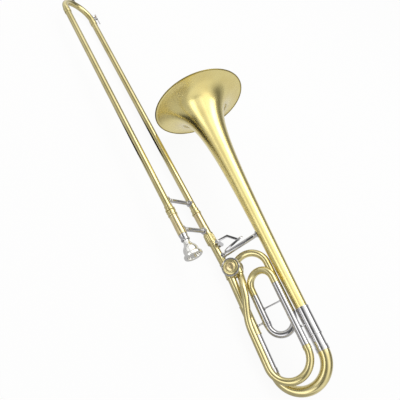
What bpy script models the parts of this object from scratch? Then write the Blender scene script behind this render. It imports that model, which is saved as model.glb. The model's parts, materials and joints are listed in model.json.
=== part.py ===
"""Tenor trombone with a valve attachment, as an assembly of separate pieces.

Two frames carry the pieces. The slide frame has +X to the rear along the bell-side slide tube,
+Y towards the bell and +Z away from the floor side, with X = 0 at the bell lock nut. The bell frame
starts on the neckpipe ahead of the valve and is turned a few degrees, because the hand slide
diverges from the bell. Both hang on one empty, which lays the instrument down on its bell rim, a
ferrule of the hand slide and a ferrule of the tuning slide. All sizes are in metres.
"""
import math

import bmesh
import bpy
from mathutils import Matrix, Vector

# Clearances between neighbouring pieces
GAP = 0.0003            # pieces that are soldered or seated
RUN = 0.0003            # radial running clearance of a slide leg

# Hand slide
OUTER_TUBE_OD = 0.0155
OUTER_TUBE_WALL = 0.0004
INNER_TUBE_WALL = 0.0004
SLIDE_OFFSET_Y = -0.0270        # mouthpiece-side tube from the bell-side tube
SLIDE_OFFSET_Z = 0.0827
OUTER_REAR_X = -0.0750          # rear end of the outer tubes
BOW_START_X = -0.7310           # where the slide bow starts to turn
INNER_FRONT_X = -0.7000         # front end of the inner tubes
BOW_TUBE_OD = 0.0160
BOW_WALL = 0.0008
FERRULE_OD = 0.0178
FERRULE_LENGTH = 0.0170
FERRULE_SETBACK = 0.0010        # ferrule's front edge behind the turn
BOW_LEG = 0.0090                # straight end of the bow inside its ferrule
END_RING_OD = 0.0206
END_RING_LENGTH = 0.0140
END_RING_LIP = 0.0040
OUTER_BRACE_X = -0.0960
OUTER_BRACE_OD = 0.0084
BUMPER_OD = 0.0120
BUMPER_LENGTH = 0.0080
BUMPER_SEAT = 0.0035            # depth of the bow's groove in the bumper
BUMPER_ROUND = 0.0010

# Water key on the slide bow
KEY_PIVOT_X = -0.7355
KEY_SIDE = (0.0, 0.86, -0.50)   # direction of the key from the tube
KEY_REACH = 0.0128              # pin height from the tube's axis
KEY_POST_WIDTH = 0.0030
KEY_POST_LENGTH = 0.0036
KEY_POST_WALL = 0.0004          # post above the hole of the pin
KEY_LEVER_FRONT = 0.0170
KEY_LEVER_REAR = 0.0230
KEY_LEVER_WIDTH = 0.0064
KEY_LEVER_THICKNESS = 0.0016
KEY_PAD_OD = 0.0070
KEY_NIPPLE_OD = 0.0066
KEY_NIPPLE_X = -0.7430
KEY_PAD_THICKNESS = 0.0016
KEY_PIN_OD = 0.0016
KEY_TRAVEL = math.radians(15.0)

# Inner slide, grip and mouthpiece
BARREL_OD = 0.0186
BARREL_REAR_X = -0.0080
LOCK_RING_OD = 0.0204
LOCK_RING_LENGTH = 0.0120
INNER_BRACE_X = -0.0225
INNER_BRACE_OD = 0.0092
TENON_REAR_X = 0.0080
TENON_OD = 0.0160
LOCK_NUT_FRONT_X = -0.0140
LOCK_NUT_LENGTH = 0.0235
LOCK_NUT_OD = 0.0226
LOCK_NUT_RIBS = 12
LOCK_NUT_RIB_DEPTH = 0.0007
RECEIVER_REAR_X = 0.0060
MOUTHPIECE_RIM_X = 0.0440
MOUTHPIECE_LENGTH = 0.0820
MOUTHPIECE_RIM_OD = 0.0390
MOUTHPIECE_CUP_ID = 0.0252
MOUTHPIECE_CUP_DEPTH = 0.0240
MOUTHPIECE_BORE = 0.0066
MOUTHPIECE_SHANK_X = 0.0080      # wide end of the tapered shank
MOUTHPIECE_SHANK_OD = 0.0126
MOUTHPIECE_TIP_OD = 0.0112

# Bell section layout
SPLAY = math.radians(4.13)      # bell axis against the slide axis
PIVOT_X = 0.0840                # origin of the bell frame on the neckpipe's axis
BELL_T = 0.1009                 # bell axis from the neckpipe
MAIN_T = 0.0005                 # main tube from the neckpipe

# Bell
BELL_RIM_S = -0.3963
BELL_END_S = 0.1277
BELL_RIM_R = 0.1080
BELL_FLARE_LENGTH = 0.0133
BELL_FLARE_POWER = 0.60
BELL_WALL = 0.0010
BELL_RIM_BEAD = 0.0016
BELL_RIM_FLAT = 0.0026

# Neckpipe, bell brace and their saddles
NECKPIPE_OD = 0.0162
NECKPIPE_WALL = 0.0007
SOCKET_OD = 0.0186
SOCKET_FRONT_X = -0.0030
SOCKET_REAR_X = 0.0130
BELL_BRACE_X = 0.0445
BELL_BRACE_OD = 0.0098
SADDLE_OD = 0.0150
SADDLE_THICKNESS = 0.0014

# Main tube and main tuning slide
MAIN_TUBE_OD = 0.0170
TUBE_WALL = 0.0006
MAIN_SLEEVE_OD = 0.0188
MAIN_SLEEVE_START_S = 0.0700
MAIN_SLEEVE_END_S = 0.1340
BELL_SLEEVE_START_S = 0.1240
BELL_SLEEVE_END_S = 0.1800
BELL_SLEEVE_WALL = 0.0005
SLEEVE_BEAD = 0.0004
SLEEVE_BEAD_LENGTH = 0.0030
TUNING_LEG_ENGAGED = 0.0480     # leg inside its sleeve when pushed in
TUNING_BOW_S = 0.2100           # where the main tuning bow starts to turn
TUNING_FERRULE_LENGTH = 0.0090
TUNING_FERRULE_WALL = 0.0008

# Rotary valve
VALVE_S = -0.0080
VALVE_T = 0.0110
CASING_OD = 0.0346
CASING_HALF_HEIGHT = 0.0126
ROTOR_OD = 0.0276
BACK_PLATE_OD = 0.0388
BACK_PLATE_THICKNESS = 0.0026
FRONT_RING_OD = 0.0384
FRONT_RING_HEIGHT = 0.0019
CAP_OD = 0.0306
CAP_HEIGHT = 0.0046
SPINDLE_OD = 0.0044
KNUCKLE_OD = 0.0182
MAIN_KNUCKLE_OD = 0.0206
ARCH_KNUCKLE_OD = 0.0172
KNUCKLE_REACH = 0.0185          # knuckle ends from the valve's centre
KNUCKLE_OVERLAP = 0.0045        # knuckle past the casing's middle
ARCH_KNUCKLE_GAP = 0.0008       # end of the arch's knuckle to the arch
PORT_BORE = 0.0136
CROSS_T = 0.0200                # rear port of the valve loop

# Valve linkage
LEVER_X = 0.0160
LEVER_SHAFT_OD = 0.0046
LEVER_BARREL_OD = 0.0084
LEVER_BARREL_HALF = 0.0118
LEVER_ARM_LENGTH = 0.0150
LEVER_TRAVEL = math.radians(28.0)
LEVER_PLATE = 0.0022
LEVER_WIDTH = 0.0052
ROTOR_TRAVEL = math.radians(90.0)
ROD_THICKNESS = 0.0020
ROD_WIDTH = 0.0030
ROD_EYE_OD = 0.0052
LINK_PIN_OD = 0.0020
STOP_ARM_THICKNESS = 0.0022
STOP_POST_OD = 0.0046
STOP_POST_R = 0.0122            # posts from the rotor's axis
STOP_LUG_WIDTH = 0.0044
STOP_HUB_OD = 0.0080
PADDLE_LENGTH = 0.0470
PADDLE_WIDTH = 0.0140
PADDLE_THICKNESS = 0.0018
PADDLE_TILT = math.radians(22.0)
PADDLE_LIFT = 0.0030            # middle of the paddle above the lever's arm
PADDLE_INNER = (-0.0405, 0.0140)    # (s, t) of the paddle's ends
PADDLE_OUTER = (-0.0515, 0.0605)
LEVER_BEND = (-0.0687, 0.0317)      # (s, t) of the corner of the lever's arm
LEVER_JOIN = (-0.0500, 0.0500)      # (s, t) where the arm meets the paddle
LEVER_LEVEL = 0.0130                # underside of the lever's arm above the bell plane

# Valve tubing
LOOP_TUBE_OD = 0.0146
LOOP_SLEEVE_OD = 0.0150
LOOP_LEG_OD = 0.0134
LOOP_LEFT_T = 0.0280
LOOP_RIGHT_T = 0.0795
LOOP_RISE = 0.0180              # height of the long leg and the crossover above the bell plane
ARCH_CENTRE_S = 0.0160
ARCH_RADIUS = 0.0366
SMALL_ARCH_S = 0.0513
LOOP_SLEEVE_START_S = 0.0640
LOOP_SLEEVE_END_S = 0.1232
LOOP_BOW_S = 0.1286
LOOP_LEG_ENGAGED = 0.0450
LOOP_COLLAR_OD = 0.0152
REAR_BOW_S = 0.1970
REAR_BOW_LEFT_T = -0.0017
REAR_BOW_COLLAR = 0.0070
REAR_BOW_COLLAR_OD = 0.0166
CROSS_BRACE_S = 0.0945
CROSS_BRACE_OD = 0.0032
NECK_STAY_S = 0.1180
BELL_STAY_S = 0.1560
STAY_OD = 0.0034
STAY_FOOT_OD = 0.0058
STAY_FOOT_DEPTH = 0.0012

# Crossover from the valve to the rear bow: s, share of the way across, share of the rise
CROSSOVER_ROUTE = ((0.030, 0.0, 0.47), (0.045, 0.10, 0.83), (0.062, 0.26, 0.98),
                   (0.082, 0.57, 1.0), (0.105, 0.90, 1.0), (0.128, 1.0, 1.0))

# Facets
TUBE_SIDES = 10
WIDE_SIDES = 12
TURNED_SIDES = 12
VALVE_SIDES = 26
MOUTHPIECE_SIDES = 16
BELL_SIDES = 26
BEND_STEPS = 8

LACQUER = ("D8B65E", 0.22, 1.0)
NICKEL = ("C9C8C6", 0.18, 1.0)
ROSE = ("C9A184", 0.28, 1.0)
PLATE = ("E3E3E1", 0.12, 1.0)
CORK = ("A9845C", 0.85, 0.0)
RUBBER = ("2A2A2B", 0.70, 0.0)

X_AXIS = Vector((1.0, 0.0, 0.0))
Y_AXIS = Vector((0.0, 1.0, 0.0))
Z_AXIS = Vector((0.0, 0.0, 1.0))
FACET_TURN = Vector((0.985, 0.174, 0.42))   # keeps the facets of bores off those around them
SLIDE_OFFSET = Vector((0.0, SLIDE_OFFSET_Y, SLIDE_OFFSET_Z))
SLIDE_ACROSS = SLIDE_OFFSET.normalized()
SLIDE_NORMAL = X_AXIS.cross(SLIDE_ACROSS)
OUTER_TUBE_R = OUTER_TUBE_OD / 2
INNER_TUBE_R = OUTER_TUBE_R - OUTER_TUBE_WALL - RUN


def clear_scene():
    for obj in list(bpy.data.objects):
        bpy.data.objects.remove(obj, do_unlink=True)


def linear(hex_colour):
    """sRGB hex to linear RGB."""
    values = [int(hex_colour[i:i + 2], 16) / 255.0 for i in (0, 2, 4)]
    return [v / 12.92 if v <= 0.04045 else ((v + 0.055) / 1.055) ** 2.4 for v in values]


def give_material(obj, finish):
    colour, roughness, metallic = finish
    material = bpy.data.materials.new(obj.name)
    material.use_nodes = True
    shader = material.node_tree.nodes["Principled BSDF"]
    shader.inputs["Base Color"].default_value = linear(colour) + [1.0]
    shader.inputs["Roughness"].default_value = roughness
    shader.inputs["Metallic"].default_value = metallic
    obj.data.materials.append(material)


def new_object(name, mesh, parent, finish):
    obj = bpy.data.objects.new(name, mesh)
    bpy.context.scene.collection.objects.link(obj)
    obj.parent = parent
    if finish is None:
        obj.hide_render = True
        obj.display_type = "WIRE"
    else:
        give_material(obj, finish)
    return obj


def new_frame(name, parent, location=(0, 0, 0), rotation=(0, 0, 0)):
    frame = bpy.data.objects.new(name, None)
    bpy.context.scene.collection.objects.link(frame)
    frame.parent = parent
    frame.location = location
    frame.rotation_euler = rotation
    return frame


def smooth(mesh):
    mesh.shade_smooth()
    mesh.set_sharp_from_angle(angle=math.radians(35))


def axes(axis, ref):
    """Rotation whose Z follows axis and whose X lies towards ref."""
    z = Vector(axis).normalized()
    x = Vector(ref) - z * z.dot(Vector(ref))
    x.normalize()
    return Matrix((x, z.cross(x), z)).transposed()


def turned(name, parent, origin, axis, ref, outer, inner, finish, sides=TURNED_SIDES):
    """A turned piece. outer and inner list (z, r) from the bottom to the top.

    Without an inner list the piece is solid. An inner list that ends on r = 0 is a blind bore.
    """
    line = [(r, z) for z, r in reversed(outer)]
    closed = inner is not None
    if closed:
        line = line + [(r, z) for z, r in inner]
    else:
        line = [(0.0, outer[-1][0])] + line + [(0.0, outer[0][0])]
    mesh = bpy.data.meshes.new(name)
    verts = [(r, 0.0, z) for r, z in line]
    edges = [(i, i + 1) for i in range(len(verts) - 1)]
    if closed and not (line[-1][0] == 0.0 and line[0][0] == 0.0):
        edges.append((len(verts) - 1, 0))
    mesh.from_pydata(verts, edges, [])
    obj = new_object(name, mesh, parent, finish)
    screw = obj.modifiers.new("turn", "SCREW")
    screw.axis = "Z"
    screw.steps = sides
    screw.render_steps = sides
    screw.use_merge_vertices = True
    screw.merge_threshold = 0.00001
    screw.use_smooth_shade = True
    obj.location = origin
    obj.rotation_euler = axes(axis, ref).to_euler()
    return obj


def swept(name, parent, path, ref, finish, sides=TUBE_SIDES, origin=(0, 0, 0)):
    """A round bar or pipe along a path of (point, tangent, outer radius, inner radius)."""
    bm = bmesh.new()
    origin = Vector(origin)
    outer_rings = []
    inner_rings = []
    for point, tangent, r_out, r_in in path:
        spin = axes(tangent, ref)
        for rings, radius in ((outer_rings, r_out), (inner_rings, r_in)):
            if radius is None:
                continue
            ring = []
            for i in range(sides):
                angle = 2 * math.pi * i / sides
                local = Vector((radius * math.cos(angle), radius * math.sin(angle), 0.0))
                ring.append(bm.verts.new(Vector(point) - origin + spin @ local))
            rings.append(ring)
    for rings, flip in ((outer_rings, False), (inner_rings, True)):
        for a, b in zip(rings, rings[1:]):
            for i in range(sides):
                j = (i + 1) % sides
                quad = (a[i], a[j], b[j], b[i])
                bm.faces.new(tuple(reversed(quad)) if flip else quad)
    for index, flip in ((0, True), (-1, False)):
        if inner_rings:
            for i in range(sides):
                j = (i + 1) % sides
                quad = (outer_rings[index][i], outer_rings[index][j],
                        inner_rings[index][j], inner_rings[index][i])
                bm.faces.new(tuple(reversed(quad)) if flip else quad)
        else:
            ring = outer_rings[index]
            bm.faces.new(tuple(reversed(ring)) if flip else tuple(ring))
    mesh = bpy.data.meshes.new(name)
    bm.to_mesh(mesh)
    bm.free()
    smooth(mesh)
    obj = new_object(name, mesh, parent, finish)
    obj.location = origin
    return obj


def straight(p0, p1, r_out, r_in=None):
    p0 = Vector(p0)
    p1 = Vector(p1)
    tangent = (p1 - p0).normalized()
    return [(p0, tangent, r_out, r_in), (p1, tangent, r_out, r_in)]


def bend(centre, start, turn, radius, angle, r_start, r_end, wall=None, steps=BEND_STEPS, rise=None):
    """Part of a circle from start towards turn. rise lifts the path smoothly by that vector."""
    centre = Vector(centre)
    path = []
    for i in range(steps + 1):
        f = i / steps
        a = angle * f
        point = centre + radius * (math.cos(a) * start + math.sin(a) * turn)
        tangent = radius * angle * (-math.sin(a) * start + math.cos(a) * turn)
        if rise is not None:
            point = point + rise * (1 - math.cos(math.pi * f)) / 2
            tangent = tangent + rise * math.pi * math.sin(math.pi * f) / 2
        r_out = r_start + (r_end - r_start) * f
        path.append((point, tangent.normalized(), r_out, r_out - wall if wall else None))
    return path


def joined(*parts):
    """One path out of several, without the points that coincide."""
    path = []
    for part in parts:
        for station in part:
            if path:
                last = path[-1]
                same_place = (station[0] - last[0]).length < 1e-6
                if same_place and abs(station[2] - last[2]) < 1e-9:
                    continue
                if same_place:
                    station = (station[0] + station[1] * 0.0002, *station[1:])
            path.append(station)
    return path


def box(name, parent, size, matrix, finish):
    bm = bmesh.new()
    bmesh.ops.create_cube(bm, size=1.0)
    bmesh.ops.scale(bm, vec=Vector(size), verts=bm.verts)
    mesh = bpy.data.meshes.new(name)
    bm.to_mesh(mesh)
    bm.free()
    obj = new_object(name, mesh, parent, finish)
    obj.location = matrix.to_translation()
    obj.rotation_euler = matrix.to_euler()
    return obj


def plate(name, parent, outline, z0, z1, finish, origin=(0, 0)):
    """A flat plate with the outline (x, y), counterclockwise, between two heights."""
    bm = bmesh.new()
    verts = [bm.verts.new((x - origin[0], y - origin[1], z0)) for x, y in outline]
    face = bm.faces.new(verts)
    grown = bmesh.ops.extrude_face_region(bm, geom=[face])
    moved = [v for v in grown["geom"] if isinstance(v, bmesh.types.BMVert)]
    bmesh.ops.translate(bm, vec=(0, 0, z1 - z0), verts=moved)
    bmesh.ops.recalc_face_normals(bm, faces=bm.faces)
    mesh = bpy.data.meshes.new(name)
    bm.to_mesh(mesh)
    bm.free()
    obj = new_object(name, mesh, parent, finish)
    obj.location = (origin[0], origin[1], 0)
    return obj


def boolean(obj, other, operation):
    modifier = obj.modifiers.new(operation.lower() + " " + other.name, "BOOLEAN")
    modifier.operation = operation
    modifier.solver = "EXACT"
    modifier.object = other
    return obj


def capsule(a, b, radius, steps=6):
    """Outline of a bar with round ends from a to b, counterclockwise."""
    a = Vector(a)
    b = Vector(b)
    heading = math.atan2(b.y - a.y, b.x - a.x)
    points = []
    for centre, first in ((b, heading - math.pi / 2), (a, heading + math.pi / 2)):
        for i in range(steps + 1):
            angle = first + math.pi * i / steps
            points.append((centre.x + radius * math.cos(angle), centre.y + radius * math.sin(angle)))
    return points


def saddle(name, parent, foot, out, along, tube_r, finish, thickness=SADDLE_THICKNESS):
    """A round flange that wraps a tube. foot is on the tube's axis, out points away from it."""
    out = Vector(out).normalized()
    flange_r = SADDLE_OD / 2
    top = tube_r + thickness
    low = tube_r * 0.60
    obj = turned(name, parent, foot, out, along,
                 [(low, flange_r), (top - 0.0006, flange_r), (top, flange_r - 0.0006)], None, finish)
    cutter = swept(name + "_cutter", parent,
                   straight(Vector(foot) - 0.03 * Vector(along), Vector(foot) + 0.03 * Vector(along),
                            tube_r + GAP),
                   out, None, sides=TUBE_SIDES * 2)
    return boolean(obj, cutter, "DIFFERENCE")


def bell_turn():
    """Rotation from the bell frame to the slide frame."""
    return Matrix.Rotation(-SPLAY, 3, "Z")


def to_slide(s, t, w=0.0):
    return PIVOT_X * X_AXIS + bell_turn() @ Vector((s, t, w))


def to_bell(point):
    return bell_turn().transposed() @ (Vector(point) - PIVOT_X * X_AXIS)


def outer_slide(parent):
    """The two outer tubes with their bow, rings, brace and bumper."""
    tube_bore = OUTER_TUBE_R - OUTER_TUBE_WALL
    joint_x = BOW_START_X + BOW_LEG
    sides = {"bell_side": Vector((0, 0, 0)), "mouthpiece_side": SLIDE_OFFSET}
    for side, offset in sides.items():
        front = offset + joint_x * X_AXIS
        rear = offset + OUTER_REAR_X * X_AXIS
        swept("outer_tube_" + side, parent, straight(front, rear, OUTER_TUBE_R, tube_bore),
              SLIDE_NORMAL, LACQUER)
        clear = OUTER_TUBE_R + RUN
        ferrule_front = offset + (BOW_START_X + FERRULE_SETBACK) * X_AXIS
        turned("bow_ferrule_" + side, parent, ferrule_front, X_AXIS, SLIDE_NORMAL,
               [(0, FERRULE_OD / 2 - 0.0004), (0.0012, FERRULE_OD / 2),
                (FERRULE_LENGTH - 0.002, FERRULE_OD / 2), (FERRULE_LENGTH, clear + 0.0003)],
               [(0, clear + GAP), (FERRULE_LENGTH, clear)], NICKEL, sides=TUBE_SIDES)
        lip_r = END_RING_OD / 2
        turned("end_ring_" + side, parent, rear - 0.4 * END_RING_LENGTH * X_AXIS, X_AXIS, SLIDE_NORMAL,
               [(0, clear + 0.0006), (0.0015, lip_r - 0.0012),
                (END_RING_LENGTH - END_RING_LIP - 0.001, lip_r - 0.0012),
                (END_RING_LENGTH - END_RING_LIP, lip_r), (END_RING_LENGTH, lip_r)],
               [(0, clear), (END_RING_LENGTH, clear)], LACQUER, sides=TUBE_SIDES)
        out = SLIDE_ACROSS if side == "bell_side" else -SLIDE_ACROSS
        saddle("outer_brace_flange_" + side, parent, offset + OUTER_BRACE_X * X_AXIS, out, X_AXIS,
               OUTER_TUBE_R, NICKEL)
    between(parent, "outer_brace", OUTER_BRACE_X, OUTER_BRACE_OD, OUTER_TUBE_R, NICKEL)
    slide_bow(parent)
    slide_bumper(parent)


def between(parent, name, x, diameter, tube_r, finish):
    """A brace across the slide, from saddle to saddle."""
    margin = tube_r + SADDLE_THICKNESS + GAP
    start = x * X_AXIS + margin * SLIDE_ACROSS
    end = x * X_AXIS + SLIDE_OFFSET - margin * SLIDE_ACROSS
    grip = diameter / 2
    neck = grip * 0.8
    line = end - start
    path = []
    for f, r in ((0, grip), (0.06, grip), (0.09, neck), (0.2, neck), (0.25, grip), (0.75, grip),
                 (0.8, neck), (0.91, neck), (0.94, grip), (1, grip)):
        path.append((start + line * f, SLIDE_ACROSS, r, None))
    swept(name, parent, path, X_AXIS, finish)


def slide_bow_path(r_out, r_in, angle=math.pi, steps=10):
    half = SLIDE_OFFSET.length / 2
    centre = BOW_START_X * X_AXIS + SLIDE_OFFSET / 2
    wall = r_out - r_in if r_in else None
    first = (math.pi - angle) / 2
    start = math.cos(first) * -SLIDE_ACROSS + math.sin(first) * -X_AXIS
    turn = math.sin(first) * SLIDE_ACROSS + math.cos(first) * -X_AXIS
    return bend(centre, start, turn, half, angle, r_out, r_out, wall, steps)


def slide_bow(parent):
    radius = BOW_TUBE_OD / 2
    bore = radius - BOW_WALL
    neck_r = OUTER_TUBE_R
    neck_bore = neck_r - BOW_WALL
    leg_end = (BOW_START_X + BOW_LEG - GAP) * X_AXIS
    leg_start = BOW_START_X * X_AXIS
    arc = slide_bow_path(radius, bore)
    first = straight(leg_end, leg_start, neck_r, neck_bore)
    last = straight(leg_start + SLIDE_OFFSET, leg_end + SLIDE_OFFSET, neck_r, neck_bore)
    bow = swept("slide_bow", parent, joined(first, arc, last), SLIDE_NORMAL, LACQUER)

    side = Vector(KEY_SIDE).normalized()
    post_in = radius - BOW_WALL * 1.5
    post_out = KEY_REACH + key_post_top()
    mid = KEY_PIVOT_X * X_AXIS + side * (post_in + post_out) / 2
    post = box("key_post_tool", parent, (KEY_POST_LENGTH, KEY_POST_WIDTH, post_out - post_in),
               Matrix.Translation(mid) @ key_turn(), None)
    boolean(bow, post, "UNION")
    nipple = turned("key_nipple_tool", parent, nipple_root(), side, X_AXIS,
                    [(0, KEY_NIPPLE_OD / 2), (nipple_height(), KEY_NIPPLE_OD / 2)], None, None)
    boolean(bow, nipple, "UNION")
    hole_half = KEY_POST_WIDTH
    hole = turned("key_hole_tool", parent, key_pivot() - X_AXIS.cross(side) * hole_half,
                  X_AXIS.cross(side), X_AXIS,
                  [(0, KEY_PIN_OD / 2 + GAP), (2 * hole_half, KEY_PIN_OD / 2 + GAP)], None, None)
    boolean(bow, hole, "DIFFERENCE")


def key_turn():
    side = Vector(KEY_SIDE).normalized()
    return Matrix((X_AXIS, side.cross(X_AXIS), side)).transposed().to_4x4()


def key_pivot():
    return KEY_PIVOT_X * X_AXIS + Vector(KEY_SIDE).normalized() * KEY_REACH


def bow_centre_at(x):
    """Centre of the slide bow's tube on its first half, at a given x ahead of the turn."""
    half = SLIDE_OFFSET.length / 2
    angle = math.asin(min(1.0, (BOW_START_X - x) / half))
    return x * X_AXIS + half * (1 - math.cos(angle)) * SLIDE_ACROSS


def nipple_root():
    side = Vector(KEY_SIDE).normalized()
    return bow_centre_at(KEY_NIPPLE_X) + side * (BOW_TUBE_OD / 2 - BOW_WALL * 1.5)


def key_post_top():
    """Top of the post above the key's pin."""
    return KEY_PIN_OD / 2 + GAP + KEY_POST_WALL


def key_level():
    """Underside of the water key's lever from the bell-side tube's axis, clear of the post's corners."""
    corner = key_post_top() * math.cos(KEY_TRAVEL) + KEY_POST_LENGTH / 2 * math.sin(KEY_TRAVEL)
    return KEY_REACH + corner + GAP


def nipple_height():
    side = Vector(KEY_SIDE).normalized()
    root = nipple_root().dot(side)
    return key_level() - KEY_PAD_THICKNESS - GAP * 2 - root


def slide_bumper(parent):
    half = SLIDE_OFFSET.length / 2
    tip = (BOW_START_X - half - BOW_TUBE_OD / 2) * X_AXIS + SLIDE_OFFSET / 2
    length = BUMPER_LENGTH + BUMPER_SEAT
    body = turned("slide_bumper", parent, tip + BUMPER_SEAT * X_AXIS, -X_AXIS, SLIDE_NORMAL,
                  [(0, BUMPER_OD / 2), (length - BUMPER_ROUND, BUMPER_OD / 2),
                   (length, BUMPER_OD / 2 - BUMPER_ROUND)], None, RUBBER)
    cutter = swept("bumper_cutter", parent,
                   slide_bow_path(BOW_TUBE_OD / 2 + GAP, None, math.radians(40), steps=6),
                   SLIDE_NORMAL, None, sides=TUBE_SIDES * 2)
    boolean(body, cutter, "DIFFERENCE")


def water_key(parent):
    """Lever on a pin across the post, with its cork pad."""
    side = Vector(KEY_SIDE).normalized()
    across = X_AXIS.cross(side)
    axis_frame = new_frame("water_key_axis", parent, key_pivot())
    low = key_level() - KEY_REACH
    middle = low + KEY_LEVER_THICKNESS / 2
    lever = box("water_key", axis_frame,
                (KEY_LEVER_FRONT + KEY_LEVER_REAR, KEY_LEVER_WIDTH, KEY_LEVER_THICKNESS),
                Matrix.Translation(side * middle + X_AXIS * (KEY_LEVER_REAR - KEY_LEVER_FRONT) / 2)
                @ key_turn(), NICKEL)
    ear_in = KEY_POST_WIDTH / 2 + GAP
    ear_out = KEY_LEVER_WIDTH / 2
    for name, sign in (("left", -1), ("right", 1)):
        centre = across * sign * (ear_in + ear_out) / 2 + side * (middle - KEY_PIN_OD) / 2
        ear = box("key_ear_tool_" + name, axis_frame,
                  (KEY_POST_LENGTH, ear_out - ear_in, middle + KEY_PIN_OD),
                  Matrix.Translation(centre) @ key_turn(), None)
        boolean(lever, ear, "UNION")
    pin_half = (ear_in + ear_out) / 2
    pin = turned("key_pin_tool", axis_frame, -across * pin_half, across, X_AXIS,
                 [(0, KEY_PIN_OD / 2), (2 * pin_half, KEY_PIN_OD / 2)], None, None)
    boolean(lever, pin, "UNION")
    root = nipple_root() - side * nipple_root().dot(side) + side * (key_level() - GAP)
    turned("water_key_pad", axis_frame, root - key_pivot(), -side, X_AXIS,
           [(0, KEY_PAD_OD / 2), (KEY_PAD_THICKNESS, KEY_PAD_OD / 2)], None, CORK, sides=TUBE_SIDES)


def inner_slide(parent):
    """Inner tubes, cork barrels, grip, tenon and mouthpiece receiver."""
    bore = INNER_TUBE_R - INNER_TUBE_WALL
    barrel_r = BARREL_OD / 2
    seat = INNER_TUBE_R + GAP
    front_x = OUTER_REAR_X + 0.6 * END_RING_LENGTH + GAP * 1.5
    lock_rear = front_x + LOCK_RING_LENGTH + GAP
    for side, offset, start in (("bell_side", Vector((0, 0, 0)), front_x),
                                ("mouthpiece_side", SLIDE_OFFSET, lock_rear)):
        swept("inner_tube_" + side, parent,
              straight(offset + INNER_FRONT_X * X_AXIS, offset + (BARREL_REAR_X - 0.002) * X_AXIS,
                       INNER_TUBE_R, bore), SLIDE_NORMAL, PLATE)
        length = BARREL_REAR_X - start
        turned("cork_barrel_" + side, parent, offset + start * X_AXIS, X_AXIS, SLIDE_NORMAL,
               [(0, barrel_r - 0.0006), (0.001, barrel_r), (length - 0.001, barrel_r),
                (length, barrel_r - 0.001)],
               [(0, seat), (length - 0.001, seat), (length, seat - 0.0008)], ROSE, sides=TUBE_SIDES)
        out = SLIDE_ACROSS if side == "bell_side" else -SLIDE_ACROSS
        saddle("inner_brace_flange_" + side, parent, offset + INNER_BRACE_X * X_AXIS, out, X_AXIS,
               barrel_r, NICKEL)
    between(parent, "inner_brace", INNER_BRACE_X, INNER_BRACE_OD, barrel_r, NICKEL)

    tenon_r = TENON_OD / 2
    length = TENON_REAR_X - BARREL_REAR_X - GAP
    turned("slide_tenon", parent, (BARREL_REAR_X + GAP) * X_AXIS, X_AXIS, SLIDE_NORMAL,
           [(0, tenon_r), (length - 0.001, tenon_r - 0.0003), (length, tenon_r - 0.0008)],
           [(0, bore), (length, bore)], NICKEL, sides=TUBE_SIDES)

    shank_seat = mouthpiece_radius_at(BARREL_REAR_X + GAP) + RUN
    shank_mouth = mouthpiece_radius_at(RECEIVER_REAR_X) + RUN
    length = RECEIVER_REAR_X - BARREL_REAR_X - GAP
    turned("mouthpiece_receiver", parent, SLIDE_OFFSET + (BARREL_REAR_X + GAP) * X_AXIS, X_AXIS,
           SLIDE_NORMAL,
           [(0, barrel_r), (0.002, barrel_r - 0.0006), (length - 0.004, barrel_r - 0.0012),
            (length - 0.002, barrel_r), (length, barrel_r)],
           [(0, shank_seat), (length, shank_mouth)], NICKEL, sides=MOUTHPIECE_SIDES)
    return front_x


def mouthpiece_radius_at(x):
    """Radius of the mouthpiece's tapered shank."""
    tip_x = MOUTHPIECE_RIM_X - MOUTHPIECE_LENGTH
    f = (x - tip_x) / (MOUTHPIECE_SHANK_X - tip_x)
    return MOUTHPIECE_TIP_OD / 2 + f * (MOUTHPIECE_SHANK_OD - MOUTHPIECE_TIP_OD) / 2


def lock_ring(parent):
    radius = LOCK_RING_OD / 2
    length = LOCK_RING_LENGTH
    bore = (INNER_TUBE_R + RUN) / math.cos(math.pi / TUBE_SIDES)
    turned("slide_lock_ring", parent, (0, 0, 0), X_AXIS, SLIDE_NORMAL,
           [(0, radius - 0.0012), (0.0015, radius), (0.003, radius), (0.0036, radius - 0.0006),
            (length - 0.0036, radius - 0.0006), (length - 0.003, radius),
            (length - 0.0012, radius), (length, radius - 0.0012)],
           [(0, bore), (length, bore)], LACQUER, sides=TUBE_SIDES)


def lock_nut(parent):
    """Ribbed nut around the tenon and the socket."""
    bore = max(BARREL_OD, SOCKET_OD) / 2 + RUN
    points = []
    count = LOCK_NUT_RIBS
    for i in range(count):
        for share, drop in ((-0.30, 0.0), (0.30, 0.0), (0.42, 1.0), (0.58, 1.0)):
            angle = 2 * math.pi * (i + share) / count
            radius = LOCK_NUT_OD / 2 - drop * LOCK_NUT_RIB_DEPTH
            points.append((radius * math.cos(angle), radius * math.sin(angle)))
    nut = plate("bell_lock_nut", parent, points, 0, LOCK_NUT_LENGTH, LACQUER)
    nut.rotation_euler = axes(X_AXIS, SLIDE_NORMAL).to_euler()
    nut.location = (LOCK_NUT_FRONT_X, 0, 0)
    smooth(nut.data)
    cutter = turned("lock_nut_cutter", parent, (LOCK_NUT_FRONT_X - 0.002) * X_AXIS, X_AXIS,
                    SLIDE_NORMAL, [(0, bore), (LOCK_NUT_LENGTH + 0.004, bore)], None, None,
                    sides=TUBE_SIDES * 2)
    boolean(nut, cutter, "DIFFERENCE")


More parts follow.
